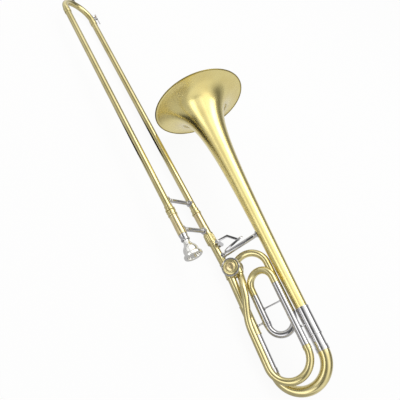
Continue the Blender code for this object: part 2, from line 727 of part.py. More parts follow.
def mouthpiece(parent):
    """Turned mouthpiece with a cup, a throat and an open backbore. The frame is at its rim."""
    rim = MOUTHPIECE_RIM_OD / 2
    cup = MOUTHPIECE_CUP_ID / 2
    bore = MOUTHPIECE_BORE / 2
    tip = -MOUTHPIECE_LENGTH
    shank_top = MOUTHPIECE_SHANK_X - MOUTHPIECE_RIM_X
    shank = MOUTHPIECE_SHANK_OD / 2
    depth = MOUTHPIECE_CUP_DEPTH
    turned("mouthpiece", parent, (0, 0, 0), X_AXIS, SLIDE_NORMAL,
           [(tip, MOUTHPIECE_TIP_OD / 2), (shank_top, shank), (shank_top + 0.004, shank + 0.0012),
            (-0.0250, rim * 0.52), (-0.0190, rim * 0.72), (-0.0120, rim * 0.82),
            (-0.0070, rim * 0.87), (-0.0050, rim), (-0.0018, rim), (0, rim - 0.0022)],
           [(tip, bore + 0.0016), (-0.050, bore + 0.0004), (-depth - 0.004, bore),
            (-depth, bore + 0.002), (-depth * 0.7, cup * 0.72), (-depth * 0.3, cup * 0.95),
            (-0.0020, cup), (0, cup + 0.0016)], PLATE, sides=MOUTHPIECE_SIDES)


def bell_radius(s):
    """Outside radius of the bell at a distance s along the bell frame."""
    return BELL_RIM_R * (1 + (s - BELL_RIM_S) / BELL_FLARE_LENGTH) ** -BELL_FLARE_POWER


def bell(parent, ref):
    """Flare and stem in one turned shell, with a rolled rim and a narrow flat front."""
    length = BELL_END_S - BELL_RIM_S
    stations = [length * (i / 11) ** 2.3 for i in range(1, 12)]
    outer = [(BELL_RIM_BEAD, BELL_RIM_R + 0.0002)]
    inner = []
    for x in stations:
        radius = bell_radius(BELL_RIM_S + x)
        step = 0.0002
        slope = (bell_radius(BELL_RIM_S + x + step) - bell_radius(BELL_RIM_S + x - step)) / (2 * step)
        normal = math.sqrt(1 + slope * slope)
        if x > 2 * BELL_RIM_BEAD:
            outer.append((x, radius))
        inner.append((x - BELL_WALL * slope / normal * -1, radius - BELL_WALL / normal))
    front = [(0.0, BELL_RIM_R - BELL_RIM_FLAT), (0.0, BELL_RIM_R - 0.0002)]
    inner = [p for p in inner if p[0] > 0.0010 and p[1] < BELL_RIM_R - BELL_RIM_FLAT - 0.0005]
    inner[-1] = (length, outer[-1][1] - BELL_WALL)
    return turned("bell", parent, (BELL_RIM_S, BELL_T, 0), X_AXIS, ref,
                  [front[1]] + outer, [front[0]] + inner, LACQUER, sides=BELL_SIDES)


def bell_section(slide_frame, frame, rim_ref):
    """Socket, neckpipe, bell and the brace between them."""
    neck_r = NECKPIPE_OD / 2
    socket_r = SOCKET_OD / 2
    socket_length = SOCKET_REAR_X - SOCKET_FRONT_X
    tenon_clear = TENON_OD / 2 + RUN
    turned("bell_socket", slide_frame, SOCKET_FRONT_X * X_AXIS, X_AXIS, SLIDE_NORMAL,
           [(0, socket_r), (socket_length - 0.002, socket_r), (socket_length, socket_r - 0.0010)],
           [(0, tenon_clear), (socket_length, tenon_clear)], LACQUER, sides=TUBE_SIDES)
    rear = to_slide(VALVE_S, VALVE_T).x - KNUCKLE_REACH - GAP
    swept("neckpipe", slide_frame,
          straight((SOCKET_REAR_X + GAP) * X_AXIS, rear * X_AXIS, neck_r, neck_r - NECKPIPE_WALL),
          SLIDE_NORMAL, LACQUER)
    bell(frame, rim_ref)

    bell_y = (BELL_T - (BELL_BRACE_X - PIVOT_X) * math.sin(SPLAY)) / math.cos(SPLAY)
    local = to_bell((BELL_BRACE_X, bell_y, 0))
    radius = bell_radius(local.x)
    brace_r = BELL_BRACE_OD / 2
    margin = SADDLE_THICKNESS + GAP
    swept("bell_brace", slide_frame,
          straight((BELL_BRACE_X, neck_r + margin, 0),
                   (BELL_BRACE_X, bell_y - radius - margin - 0.0004, 0), brace_r), X_AXIS, NICKEL,
          sides=TURNED_SIDES)
    saddle("bell_brace_flange_neck", slide_frame, (BELL_BRACE_X, 0, 0), Y_AXIS, X_AXIS, neck_r, NICKEL)
    saddle("bell_brace_flange_bell", frame, local, bell_turn().transposed() @ -Y_AXIS, X_AXIS,
           radius + GAP, NICKEL)


def main_tube(frame):
    """Main tube with its sleeve, and the sleeve on the bell's end."""
    radius = MAIN_TUBE_OD / 2
    bore = radius - TUBE_WALL
    sleeve = MAIN_SLEEVE_OD / 2
    sleeve_bore = radius + RUN
    start = VALVE_S + KNUCKLE_REACH + GAP
    line = [(start, radius, bore), (MAIN_SLEEVE_START_S, radius, bore),
            (MAIN_SLEEVE_START_S + 0.0008, sleeve, bore), (MAIN_SLEEVE_START_S + 0.002, sleeve, bore),
            (MAIN_SLEEVE_START_S + 0.0024, sleeve, sleeve_bore),
            (MAIN_SLEEVE_END_S - SLEEVE_BEAD_LENGTH, sleeve, sleeve_bore),
            (MAIN_SLEEVE_END_S - SLEEVE_BEAD_LENGTH * 0.8, sleeve + SLEEVE_BEAD, sleeve_bore),
            (MAIN_SLEEVE_END_S, sleeve + SLEEVE_BEAD, sleeve_bore)]
    path = [(Vector((s, MAIN_T, 0)), X_AXIS, r, b) for s, r, b in line]
    swept("main_tube", frame, path, Z_AXIS, LACQUER, sides=WIDE_SIDES)

    clear = bell_leg_r() + RUN
    outside = clear + BELL_SLEEVE_WALL
    line = [(BELL_SLEEVE_START_S, outside + SLEEVE_BEAD),
            (BELL_SLEEVE_START_S + SLEEVE_BEAD_LENGTH, outside + SLEEVE_BEAD),
            (BELL_SLEEVE_START_S + SLEEVE_BEAD_LENGTH * 1.2, outside),
            (BELL_SLEEVE_END_S - SLEEVE_BEAD_LENGTH * 1.2, outside),
            (BELL_SLEEVE_END_S - SLEEVE_BEAD_LENGTH, outside + SLEEVE_BEAD),
            (BELL_SLEEVE_END_S, outside + SLEEVE_BEAD)]
    path = [(Vector((s, BELL_T, 0)), X_AXIS, r, clear) for s, r in line]
    swept("bell_sleeve", frame, path, Z_AXIS, NICKEL, sides=WIDE_SIDES)


def bell_leg_r():
    """Outside radius of the tuning slide's bell-side leg, as wide as the bell's end."""
    return bell_radius(BELL_SLEEVE_START_S) + 0.0001


def tuning_slide(parent):
    """Main tuning slide: two legs, two ferrules and a widening bow. The frame is at the bow."""
    neck_r = MAIN_TUBE_OD / 2
    bell_r = bell_leg_r()
    turn_s = TUNING_BOW_S
    leg_end = turn_s - TUNING_FERRULE_LENGTH * 0.5
    for name, t, radius, sleeve_end in (("neck_side", MAIN_T, neck_r, MAIN_SLEEVE_END_S),
                                        ("bell_side", BELL_T, bell_r, BELL_SLEEVE_END_S)):
        start = sleeve_end - TUNING_LEG_ENGAGED
        origin = Vector((turn_s, 0, 0))
        p0 = Vector((start, t, 0)) - origin
        p1 = Vector((leg_end, t, 0)) - origin
        swept("tuning_leg_" + name, parent, straight(p0, p1, radius, radius - TUBE_WALL), Z_AXIS,
              NICKEL, sides=WIDE_SIDES)
        clear = radius + GAP
        outside = clear + TUNING_FERRULE_WALL
        front = Vector((-TUNING_FERRULE_LENGTH - GAP, t, 0))
        length = TUNING_FERRULE_LENGTH
        turned("tuning_ferrule_" + name, parent, front, X_AXIS, Z_AXIS,
               [(0, outside - 0.0003), (0.001, outside), (length - 0.001, outside),
                (length, outside - 0.0003)],
               [(0, clear), (length, clear)], NICKEL, sides=WIDE_SIDES)
    middle = (MAIN_T + BELL_T) / 2
    arc = bend((0, middle, 0), -Y_AXIS, X_AXIS, BELL_T - middle, math.pi,
               neck_r, bell_r, TUBE_WALL, steps=10)
    joint = leg_end - turn_s + GAP
    first = straight((joint, MAIN_T, 0), (0, MAIN_T, 0), neck_r, neck_r - TUBE_WALL)
    last = straight((0, BELL_T, 0), (joint, BELL_T, 0), bell_r, bell_r - TUBE_WALL)
    swept("tuning_bow", parent, joined(first, arc, last), Z_AXIS, LACQUER, sides=WIDE_SIDES)


def arch_centre():
    return Vector((ARCH_CENTRE_S, LOOP_RIGHT_T - ARCH_RADIUS, 0))


def arch_touch():
    """Angle on the big arch whose tangent runs through the valve's axis, and that length."""
    line = Vector((VALVE_S, VALVE_T, 0)) - arch_centre()
    heading = math.atan2(line.y, line.x) % (2 * math.pi)
    angle = heading - math.acos(ARCH_RADIUS / line.length)
    return angle, math.sqrt(line.length ** 2 - ARCH_RADIUS ** 2)


def valve_ports():
    """Root from the valve's axis, direction and radius of each of the four knuckles."""
    centre = Vector((VALVE_S, VALVE_T, 0))
    neck = bell_turn().transposed() @ -X_AXIS
    neck_root = to_bell((to_slide(VALVE_S, VALVE_T).x, 0, 0)) - centre
    angle, _ = arch_touch()
    arch = Vector((math.sin(angle), -math.cos(angle), 0))
    return {
        "neck": (neck_root, neck, KNUCKLE_OD / 2),
        "main": (Vector((0, MAIN_T - VALVE_T, 0)), X_AXIS, MAIN_KNUCKLE_OD / 2),
        "loop": (Vector((0, CROSS_T - VALVE_T, 0)), X_AXIS, KNUCKLE_OD / 2),
        "arch": (Vector((0, 0, 0)), arch, ARCH_KNUCKLE_OD / 2),
    }


def valve(frame):
    """Casing with its knuckles, back plate with the stop posts, front ring and cap."""
    centre = Vector((VALVE_S, VALVE_T, 0))
    half = CASING_HALF_HEIGHT
    casing = turned("valve_casing", frame, centre - half * Z_AXIS, Z_AXIS, X_AXIS,
                    [(0, CASING_OD / 2), (2 * half, CASING_OD / 2)], None, LACQUER,
                    sides=VALVE_SIDES)
    reach = KNUCKLE_REACH
    for name, (root, direction, radius) in valve_ports().items():
        knuckle = turned("knuckle_tool_" + name, frame, centre + root, direction, Z_AXIS,
                         [(-KNUCKLE_OVERLAP, radius), (reach - 0.0010, radius),
                          (reach, radius - 0.0008)], None, None, sides=TURNED_SIDES)
        boolean(casing, knuckle, "UNION")
    rotor_bore = turned("rotor_bore_tool", frame, centre - 2 * half * Z_AXIS, Z_AXIS, FACET_TURN,
                        [(0, ROTOR_OD / 2 + RUN), (4 * half, ROTOR_OD / 2 + RUN)], None, None,
                        sides=VALVE_SIDES)
    boolean(casing, rotor_bore, "DIFFERENCE")
    for name, (root, direction, radius) in valve_ports().items():
        bore = turned("port_tool_" + name, frame, centre + root, direction, FACET_TURN,
                      [(reach * 0.2, PORT_BORE / 2), (reach * 1.3, PORT_BORE / 2)], None, None)
        boolean(casing, bore, "DIFFERENCE")

    levels = linkage_levels()
    spindle = SPINDLE_OD / 2 + RUN
    depth = BACK_PLATE_THICKNESS
    plate_r = BACK_PLATE_OD / 2
    back = turned("valve_back_plate", frame, centre - (half + GAP) * Z_AXIS, -Z_AXIS, X_AXIS,
                  [(0, plate_r - 0.0004), (0.0004, plate_r), (depth - 0.0006, plate_r),
                   (depth, plate_r - 0.0006)],
                  [(0, spindle), (depth, spindle)], NICKEL, sides=VALVE_SIDES)
    first = math.atan2(math.cos(ROTOR_TRAVEL / 2), -math.sin(ROTOR_TRAVEL / 2))
    lean = 2 * math.asin((STOP_POST_OD / 2 + STOP_LUG_WIDTH / 2 + GAP) / (2 * STOP_POST_R))
    top = levels["plate"] + depth / 2
    for name, angle in (("rest", first + lean), ("pressed", first - ROTOR_TRAVEL - lean)):
        foot = centre + STOP_POST_R * Vector((math.cos(angle), math.sin(angle), 0)) + top * Z_AXIS
        post = turned("stop_post_tool_" + name, frame, foot, -Z_AXIS, X_AXIS,
                      [(0, STOP_POST_OD / 2), (top - levels["stop"][0], STOP_POST_OD / 2)], None, None)
        boolean(back, post, "UNION")

    ring_r = FRONT_RING_OD / 2
    ring_bore = CASING_OD / 2 + GAP
    height = FRONT_RING_HEIGHT
    turned("valve_front_ring", frame, centre + (half - height) * Z_AXIS, Z_AXIS, X_AXIS,
           [(0, ring_r - 0.0004), (0.0004, ring_r), (height, ring_r)],
           [(0, ring_bore), (height, ring_bore)], NICKEL, sides=VALVE_SIDES)
    cap_r = CAP_OD / 2
    turned("valve_cap", frame, centre + (half + GAP) * Z_AXIS, Z_AXIS, X_AXIS,
           [(0, cap_r), (CAP_HEIGHT * 0.55, cap_r), (CAP_HEIGHT * 0.62, cap_r * 0.86),
            (CAP_HEIGHT * 0.9, cap_r * 0.55), (CAP_HEIGHT, cap_r * 0.25)], None, LACQUER,
           sides=VALVE_SIDES)


def linkage_levels():
    """Heights of the link rod, the stop arm and the lever's lower arm in the bell frame."""
    plate_low = -(CASING_HALF_HEIGHT + GAP + BACK_PLATE_THICKNESS)
    rod_top = plate_low - GAP
    rod_low = rod_top - ROD_THICKNESS
    stop_top = rod_low - GAP
    arm_low = rod_top + GAP
    return {"plate": plate_low, "rod": (rod_low, rod_top),
            "stop": (stop_top - STOP_ARM_THICKNESS, stop_top), "arm": (arm_low, arm_low + LEVER_PLATE)}


def rotor_pin():
    """Link pin of the stop arm at rest, from the rotor's axis. Its stroke equals the lever's."""
    radius = LEVER_ARM_LENGTH * math.sin(LEVER_TRAVEL / 2) / math.sin(ROTOR_TRAVEL / 2)
    return radius * Vector((math.sin(ROTOR_TRAVEL / 2), -math.cos(ROTOR_TRAVEL / 2)))


def lever_pin():
    """Far eye of the rod under the lever's lower arm at rest, from the lever's axis."""
    return LEVER_ARM_LENGTH * Vector((math.sin(LEVER_TRAVEL / 2), -math.cos(LEVER_TRAVEL / 2)))


def lever_pivot():
    """A point on the lever's axis beside the neckpipe, in the bell frame."""
    return to_bell((LEVER_X, (NECKPIPE_OD + LEVER_BARREL_OD) / 2 + GAP, 0))


def rotor(parent):
    """Rotor with a channel on each side, and its stop arm. The frame is on the rotor's axis."""
    half = CASING_HALF_HEIGHT - GAP
    stop_low, stop_top = linkage_levels()["stop"]
    spindle = SPINDLE_OD / 2
    body = turned("rotor", parent, (0, 0, 0), Z_AXIS, X_AXIS,
                  [(stop_low - 0.0006, spindle), (-half, spindle), (-half, ROTOR_OD / 2),
                   (half, ROTOR_OD / 2)], None, ROSE, sides=VALVE_SIDES)
    for name, t in (("main", MAIN_T), ("loop", CROSS_T)):
        channel = turned("channel_tool_" + name, parent, (-ROTOR_OD, t - VALVE_T, 0), X_AXIS, Z_AXIS,
                         [(0, PORT_BORE / 2), (2 * ROTOR_OD, PORT_BORE / 2)], None, None)
        boolean(body, channel, "DIFFERENCE")

    pin = rotor_pin()
    lug = -pin.normalized() * (STOP_POST_R + STOP_POST_OD * 0.2)
    arm = plate("stop_arm", parent, capsule(pin, (0, 0), STOP_HUB_OD / 2), stop_low, stop_top, NICKEL)
    tail = plate("stop_lug_tool", parent, capsule((0, 0), lug, STOP_LUG_WIDTH / 2), stop_low, stop_top,
                 None)
    boolean(arm, tail, "UNION")
    for name, point, radius in (("spindle", (0, 0), spindle), ("link", pin, LINK_PIN_OD / 2)):
        hole = turned("stop_hole_tool_" + name, parent, (point[0], point[1], stop_low - 0.002), Z_AXIS,
                      X_AXIS, [(0, radius + GAP), (STOP_ARM_THICKNESS + 0.004, radius + GAP)],
                      None, None)
        boolean(arm, hole, "DIFFERENCE")


def link_rod(parent, reach):
    """Rod from the stop arm to the lever. The frame is on the stop arm's pin."""
    rod_low, rod_top = linkage_levels()["rod"]
    stop_low = linkage_levels()["stop"][0]
    body = plate("link_rod", parent, capsule((0, 0), reach, ROD_WIDTH / 2), rod_low, rod_top, NICKEL)
    for name, point in (("near", Vector((0, 0))), ("far", reach)):
        ring = turned("rod_eye_tool_" + name, parent, (point.x, point.y, rod_low), Z_AXIS, X_AXIS,
                      [(0, ROD_EYE_OD / 2), (rod_top - rod_low, ROD_EYE_OD / 2)], None, None)
        boolean(body, ring, "UNION")
    pin_low = stop_low - 0.0004
    pin = turned("rod_pin_tool", parent, (0, 0, pin_low), Z_AXIS, X_AXIS,
                 [(0, LINK_PIN_OD / 2), (rod_top - pin_low - ROD_THICKNESS / 2, LINK_PIN_OD / 2)],
                 None, None)
    boolean(body, pin, "UNION")


def thumb_lever(parent):
    """Shaft with its lower arm, and the bent upper arm with the paddle, all on one axis."""
    arm_low, arm_top = linkage_levels()["arm"]
    shaft_r = LEVER_SHAFT_OD / 2
    hub_r = LEVER_BARREL_OD / 2
    half = LEVER_BARREL_HALF + GAP
    shaft_top = LEVER_LEVEL - GAP
    shaft = turned("lever_shaft", parent, (0, 0, 0), Z_AXIS, X_AXIS,
                   [(arm_low, hub_r), (-half, hub_r), (-half, shaft_r), (half, shaft_r),
                    (half, hub_r), (shaft_top, hub_r)], None, NICKEL)
    lower = plate("lever_arm_tool", parent, capsule((0, 0), lever_pin(), LEVER_WIDTH / 2),
                  arm_low, arm_top, None)
    boolean(shaft, lower, "UNION")

    low = LEVER_LEVEL
    high = low + LEVER_PLATE
    pivot = lever_pivot()
    corner = Vector((*LEVER_BEND, 0)) - pivot
    join = Vector((*LEVER_JOIN, 0)) - pivot
    inner = Vector((*PADDLE_INNER, 0)) - pivot
    outer = Vector((*PADDLE_OUTER, 0)) - pivot
    hub = turned("thumb_lever", parent, (0, 0, 0), Z_AXIS, X_AXIS,
                 [(low, hub_r), (high + 0.0010, hub_r), (high + 0.0016, hub_r - 0.0008)], None, NICKEL)
    for name, a, b in (("inner", Vector((0, 0, 0)), corner), ("outer", corner, join)):
        bar = plate("lever_bar_tool_" + name, parent, capsule(a.xy, b.xy, LEVER_WIDTH / 2),
                    low, high, None)
        boolean(hub, bar, "UNION")
    along = (outer - inner).normalized()
    spin = Matrix.Rotation(PADDLE_TILT, 3, along)
    width = spin @ Z_AXIS
    middle = (inner + outer) / 2 + Z_AXIS * (low + high) / 2 + width * PADDLE_LIFT
    turn = Matrix((along, width.cross(along), width)).transposed().to_4x4()
    pad = box("paddle_tool", parent, (PADDLE_LENGTH, PADDLE_THICKNESS, PADDLE_WIDTH),
              Matrix.Translation(middle) @ turn, None)
    boolean(hub, pad, "UNION")


def lever_barrel(frame):
    """Bearing of the thumb lever, soldered to the neckpipe."""
    half = LEVER_BARREL_HALF
    bore = LEVER_SHAFT_OD / 2 + RUN
    radius = LEVER_BARREL_OD / 2
    turned("lever_barrel", frame, lever_pivot() - half * Z_AXIS, Z_AXIS, X_AXIS,
           [(0, radius), (2 * half, radius)], [(0, bore), (2 * half, bore)], NICKEL)


def stay(name, frame, p0, p1, r0, r1, diameter):
    """A thin bar with a foot at each end, between two tubes with the radii r0 and r1."""
    p0 = Vector(p0)
    p1 = Vector(p1)
    way = (p1 - p0).normalized()
    start = p0 + way * (r0 + GAP)
    end = p1 - way * (r1 + GAP)
    bar = diameter / 2
    foot = STAY_FOOT_OD / 2
    deep = STAY_FOOT_DEPTH
    path = []
    for point, radius in ((start, foot), (start + deep * 0.6 * way, foot), (start + deep * way, bar),
                          (end - deep * way, bar), (end - deep * 0.6 * way, foot), (end, foot)):
        path.append((point, way, radius, None))
    swept(name, frame, path, X_AXIS, NICKEL, sides=10)


def valve_loop(frame):
    """Fixed tubing of the valve attachment, from the big arch round to the crossover."""
    radius = LOOP_TUBE_OD / 2
    bore = radius - TUBE_WALL
    sleeve_r = LOOP_SLEEVE_OD / 2
    joint_s = LOOP_SLEEVE_START_S - GAP
    angle, touch = arch_touch()
    way = Vector((math.sin(angle), -math.cos(angle), 0))
    first = Vector((VALVE_S, VALVE_T, 0)) + way * (KNUCKLE_REACH + ARCH_KNUCKLE_GAP)
    begin = angle - 2 * (KNUCKLE_REACH + ARCH_KNUCKLE_GAP - touch) / ARCH_RADIUS
    start = Vector((math.cos(begin), math.sin(begin), 0))
    turn = Vector((math.sin(begin), -math.cos(begin), 0))
    arc = bend(arch_centre(), start, turn, ARCH_RADIUS, begin - math.pi / 2, radius, radius, TUBE_WALL)
    leg = straight((ARCH_CENTRE_S, LOOP_RIGHT_T, 0), (joint_s, LOOP_RIGHT_T, 0), radius, bore)
    swept("valve_arch", frame, joined([(first, way, radius, bore)], arc, leg), Z_AXIS, LACQUER)

    sleeve_bore = LOOP_LEG_OD / 2 + RUN
    bead_s = LOOP_SLEEVE_END_S - SLEEVE_BEAD_LENGTH
    for name, t in (("left", LOOP_LEFT_T), ("right", LOOP_RIGHT_T)):
        path = []
        for s, r in ((LOOP_SLEEVE_START_S, sleeve_r), (bead_s, sleeve_r),
                     (bead_s + SLEEVE_BEAD, sleeve_r + SLEEVE_BEAD),
                     (LOOP_SLEEVE_END_S, sleeve_r + SLEEVE_BEAD)):
            path.append((Vector((s, t, 0)), X_AXIS, r, sleeve_bore))
        swept("loop_sleeve_" + name, frame, path, Z_AXIS, NICKEL)

    middle = (LOOP_LEFT_T + LOOP_RIGHT_T) / 2
    rise = LOOP_RISE * Z_AXIS
    first = straight((joint_s, LOOP_LEFT_T, 0), (SMALL_ARCH_S, LOOP_LEFT_T, 0), radius, bore)
    arc = bend((SMALL_ARCH_S, middle, 0), -Y_AXIS, -X_AXIS, middle - LOOP_LEFT_T, math.pi,
               radius, radius, TUBE_WALL, rise=rise)
    last = straight(Vector((SMALL_ARCH_S, LOOP_RIGHT_T, 0)) + rise,
                    Vector((joint_s, LOOP_RIGHT_T, 0)) + rise, radius, bore)
    swept("small_arch", frame, joined(first, arc, last), Z_AXIS, LACQUER)

    collar_s = REAR_BOW_S - REAR_BOW_COLLAR
    right = LOOP_RIGHT_T * Y_AXIS + rise
    left = REAR_BOW_LEFT_T * Y_AXIS + rise
    swept("long_leg", frame, straight(right + LOOP_SLEEVE_START_S * X_AXIS,
                                      right + (collar_s - GAP) * X_AXIS, radius, bore), Z_AXIS, NICKEL)
    collar_r = REAR_BOW_COLLAR_OD / 2
    arc = bend((right + left) / 2 + REAR_BOW_S * X_AXIS, Y_AXIS, X_AXIS,
               (LOOP_RIGHT_T - REAR_BOW_LEFT_T) / 2, math.pi, radius, radius, TUBE_WALL)
    first = [(right + collar_s * X_AXIS, X_AXIS, collar_r, bore),
             (right + (REAR_BOW_S - 0.0008) * X_AXIS, X_AXIS, collar_r, bore),
             (right + (REAR_BOW_S - 0.0004) * X_AXIS, X_AXIS, radius, bore)]
    last = straight(left + REAR_BOW_S * X_AXIS, left + collar_s * X_AXIS, radius, bore)
    swept("rear_bow", frame, joined(first, arc, last), Z_AXIS, LACQUER)
    crossover(frame, radius, bore, collar_s - GAP)

    stay("loop_cross_brace", frame, (CROSS_BRACE_S, LOOP_LEFT_T, 0), (CROSS_BRACE_S, LOOP_RIGHT_T, 0),
         sleeve_r, sleeve_r, CROSS_BRACE_OD)
    stay("stay_neck_side", frame, (NECK_STAY_S, MAIN_T, 0), (NECK_STAY_S, LOOP_LEFT_T, 0),
         MAIN_SLEEVE_OD / 2, sleeve_r, STAY_OD)
    stay("stay_bell_side", frame, right + BELL_STAY_S * X_AXIS, (BELL_STAY_S, BELL_T, 0), radius,
         bell_leg_r() + RUN + BELL_SLEEVE_WALL, STAY_OD)


def crossover(frame, radius, bore, end_s):
    """From the valve's rear port over the main tube to the rear bow's left end."""
    points = [Vector((VALVE_S + KNUCKLE_REACH + GAP, CROSS_T, 0))]
    for s, across, up in CROSSOVER_ROUTE:
        points.append(Vector((s, CROSS_T + across * (REAR_BOW_LEFT_T - CROSS_T), up * LOOP_RISE)))
    points.append(Vector((end_s, REAR_BOW_LEFT_T, LOOP_RISE)))
    slopes = [X_AXIS.copy()]
    for before, after in zip(points, points[2:]):
        slopes.append((after - before) / (after.x - before.x))
    slopes[-1] = X_AXIS.copy()
    slopes.append(X_AXIS.copy())
    path = []
    for p0, p1, m0, m1 in zip(points, points[1:], slopes, slopes[1:]):
        run = p1.x - p0.x
        for share in (0.0, 0.5):
            a = 1 - 3 * share ** 2 + 2 * share ** 3
            b = share - 2 * share ** 2 + share ** 3
            c = share ** 3 - share ** 2
            point = a * p0 + (1 - a) * p1 + run * (b * m0 + c * m1)
            da = 6 * share ** 2 - 6 * share
            db = 1 - 4 * share + 3 * share ** 2
            dc = 3 * share ** 2 - 2 * share
            tangent = da * (p0 - p1) / run + db * m0 + dc * m1
            path.append((point, tangent.normalized(), radius, bore))
    path.append((points[-1], X_AXIS.copy(), radius, bore))
    swept("crossover_tube", frame, path, Z_AXIS, LACQUER)


def loop_slide(parent):
    """Tuning slide of the valve loop, legs and bow in one. The frame is where the bow turns."""
    radius = LOOP_TUBE_OD / 2
    leg = LOOP_LEG_OD / 2
    bore = leg - TUBE_WALL
    collar = LOOP_COLLAR_OD / 2
    leg_start = LOOP_SLEEVE_END_S - LOOP_LEG_ENGAGED - LOOP_BOW_S
    collar_start = LOOP_SLEEVE_END_S + GAP - LOOP_BOW_S
    middle = (LOOP_LEFT_T + LOOP_RIGHT_T) / 2
    ends = []
    for t in (LOOP_LEFT_T, LOOP_RIGHT_T):
        ends.append([(Vector((s, t, 0)), X_AXIS, r, bore) for s, r in
                     ((leg_start, leg), (collar_start, leg), (collar_start + 0.0002, collar),
                      (-0.0008, collar), (-0.0004, radius))])
    arc = bend((0, middle, 0), -Y_AXIS, X_AXIS, middle - LOOP_LEFT_T, math.pi, radius, radius,
               radius - bore)
    back = [(point, -tangent, r_out, r_in) for point, tangent, r_out, r_in in reversed(ends[1])]
    swept("loop_tuning_bow", parent, joined(ends[0], arc, back), Z_AXIS, NICKEL)


def rest_plane():
    """Upward normal of the floor in the slide frame, and the rim's lowest direction.

    The instrument lies on three round edges: the bell rim, the tuning slide's ferrule and the hand
    slide's front ferrule. The plane that touches all three is found by repeating the contact points.
    """
    axis = bell_turn() @ X_AXIS
    rings = (
        (to_slide(BELL_RIM_S + BELL_RIM_BEAD, BELL_T), axis, BELL_RIM_R),
        (to_slide(TUNING_BOW_S - GAP, MAIN_T), axis, MAIN_TUBE_OD / 2 + GAP + TUNING_FERRULE_WALL),
        ((BOW_START_X + FERRULE_SETBACK) * X_AXIS, X_AXIS, FERRULE_OD / 2),
    )
    normal = Vector((0, 0.735, 0.678)).normalized()
    for _ in range(60):
        touch = []
        for centre, ring_axis, ring_r in rings:
            down = -(normal - ring_axis * normal.dot(ring_axis)).normalized()
            touch.append(centre + ring_r * down)
        found = (touch[1] - touch[0]).cross(touch[2] - touch[0]).normalized()
        normal = found if found.dot(normal) > 0 else -found
    down = -(normal - axis * normal.dot(axis)).normalized()
    return normal, bell_turn().transposed() @ down


def lay_down(stand, normal):
    """Turn the stand so that the resting plane is level, then put the floor point at the origin."""
    forward = (X_AXIS - normal * normal.dot(X_AXIS)).normalized()
    stand.rotation_euler = Matrix((forward, normal.cross(forward), normal)).to_euler()
    bpy.context.view_layer.update()
    depsgraph = bpy.context.evaluated_depsgraph_get()
    low = Vector((math.inf, math.inf, math.inf))
    high = -low
    for obj in bpy.data.objects:
        if obj.type != "MESH" or obj.hide_render:
            continue
        mesh = obj.evaluated_get(depsgraph).to_mesh()
        for vertex in mesh.vertices:
            point = obj.matrix_world @ vertex.co
            low = Vector(map(min, low, point))
            high = Vector(map(max, high, point))
        obj.evaluated_get(depsgraph).to_mesh_clear()
    stand.location = (-(low.x + high.x) / 2, -(low.y + high.y) / 2, -low.z)
    bpy.context.view_layer.update()


def main():
    clear_scene()
    normal, rim_down = rest_plane()
    stand = new_frame("stand", None)
    slide_frame = new_frame("slide_frame", stand)
    bell_frame = new_frame("bell_frame", slide_frame, PIVOT_X * X_AXIS, (0, 0, -SPLAY))

    hand_slide = new_frame("hand_slide_travel", slide_frame)
    outer_slide(hand_slide)
    water_key(hand_slide)
    ring_x = inner_slide(slide_frame)
    lock_ring(new_frame("lock_ring_axis", slide_frame, SLIDE_OFFSET + ring_x * X_AXIS))
    lock_nut(slide_frame)
    mouthpiece(new_frame("mouthpiece_axis", slide_frame, SLIDE_OFFSET + MOUTHPIECE_RIM_X * X_AXIS))

    bell_section(slide_frame, bell_frame, rim_down)
    main_tube(bell_frame)
    tuning_slide(new_frame("tuning_slide_travel", bell_frame, (TUNING_BOW_S, 0, 0)))

    valve(bell_frame)
    valve_centre = Vector((VALVE_S, VALVE_T, 0))
    rotor_axis = new_frame("rotor_axis", bell_frame, valve_centre)
    rotor(rotor_axis)
    lever_axis = new_frame("lever_axis", bell_frame, lever_pivot())
    thumb_lever(lever_axis)
    lever_barrel(bell_frame)
    reach = lever_pivot().xy + lever_pin() - valve_centre.xy - rotor_pin()
    link_rod(new_frame("rod_axis", rotor_axis, (*rotor_pin(), 0)), reach)

    valve_loop(bell_frame)
    loop_slide(new_frame("loop_slide_travel", bell_frame, (LOOP_BOW_S, 0, 0)))
    lay_down(stand, normal)


main()
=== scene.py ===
# %% [markdown]
# # A tenor trombone with a valve attachment
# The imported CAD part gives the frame: every piece at its true place, with its joints. This lesson
# dresses that frame. Almost all of the instrument is drawn tube or turned metal, so one way of
# modelling carries most of it: a circle of vertices that is extruded from ring to ring.

# %% Load the frame
import json
import math

import bpy
from mathutils import Matrix, Vector

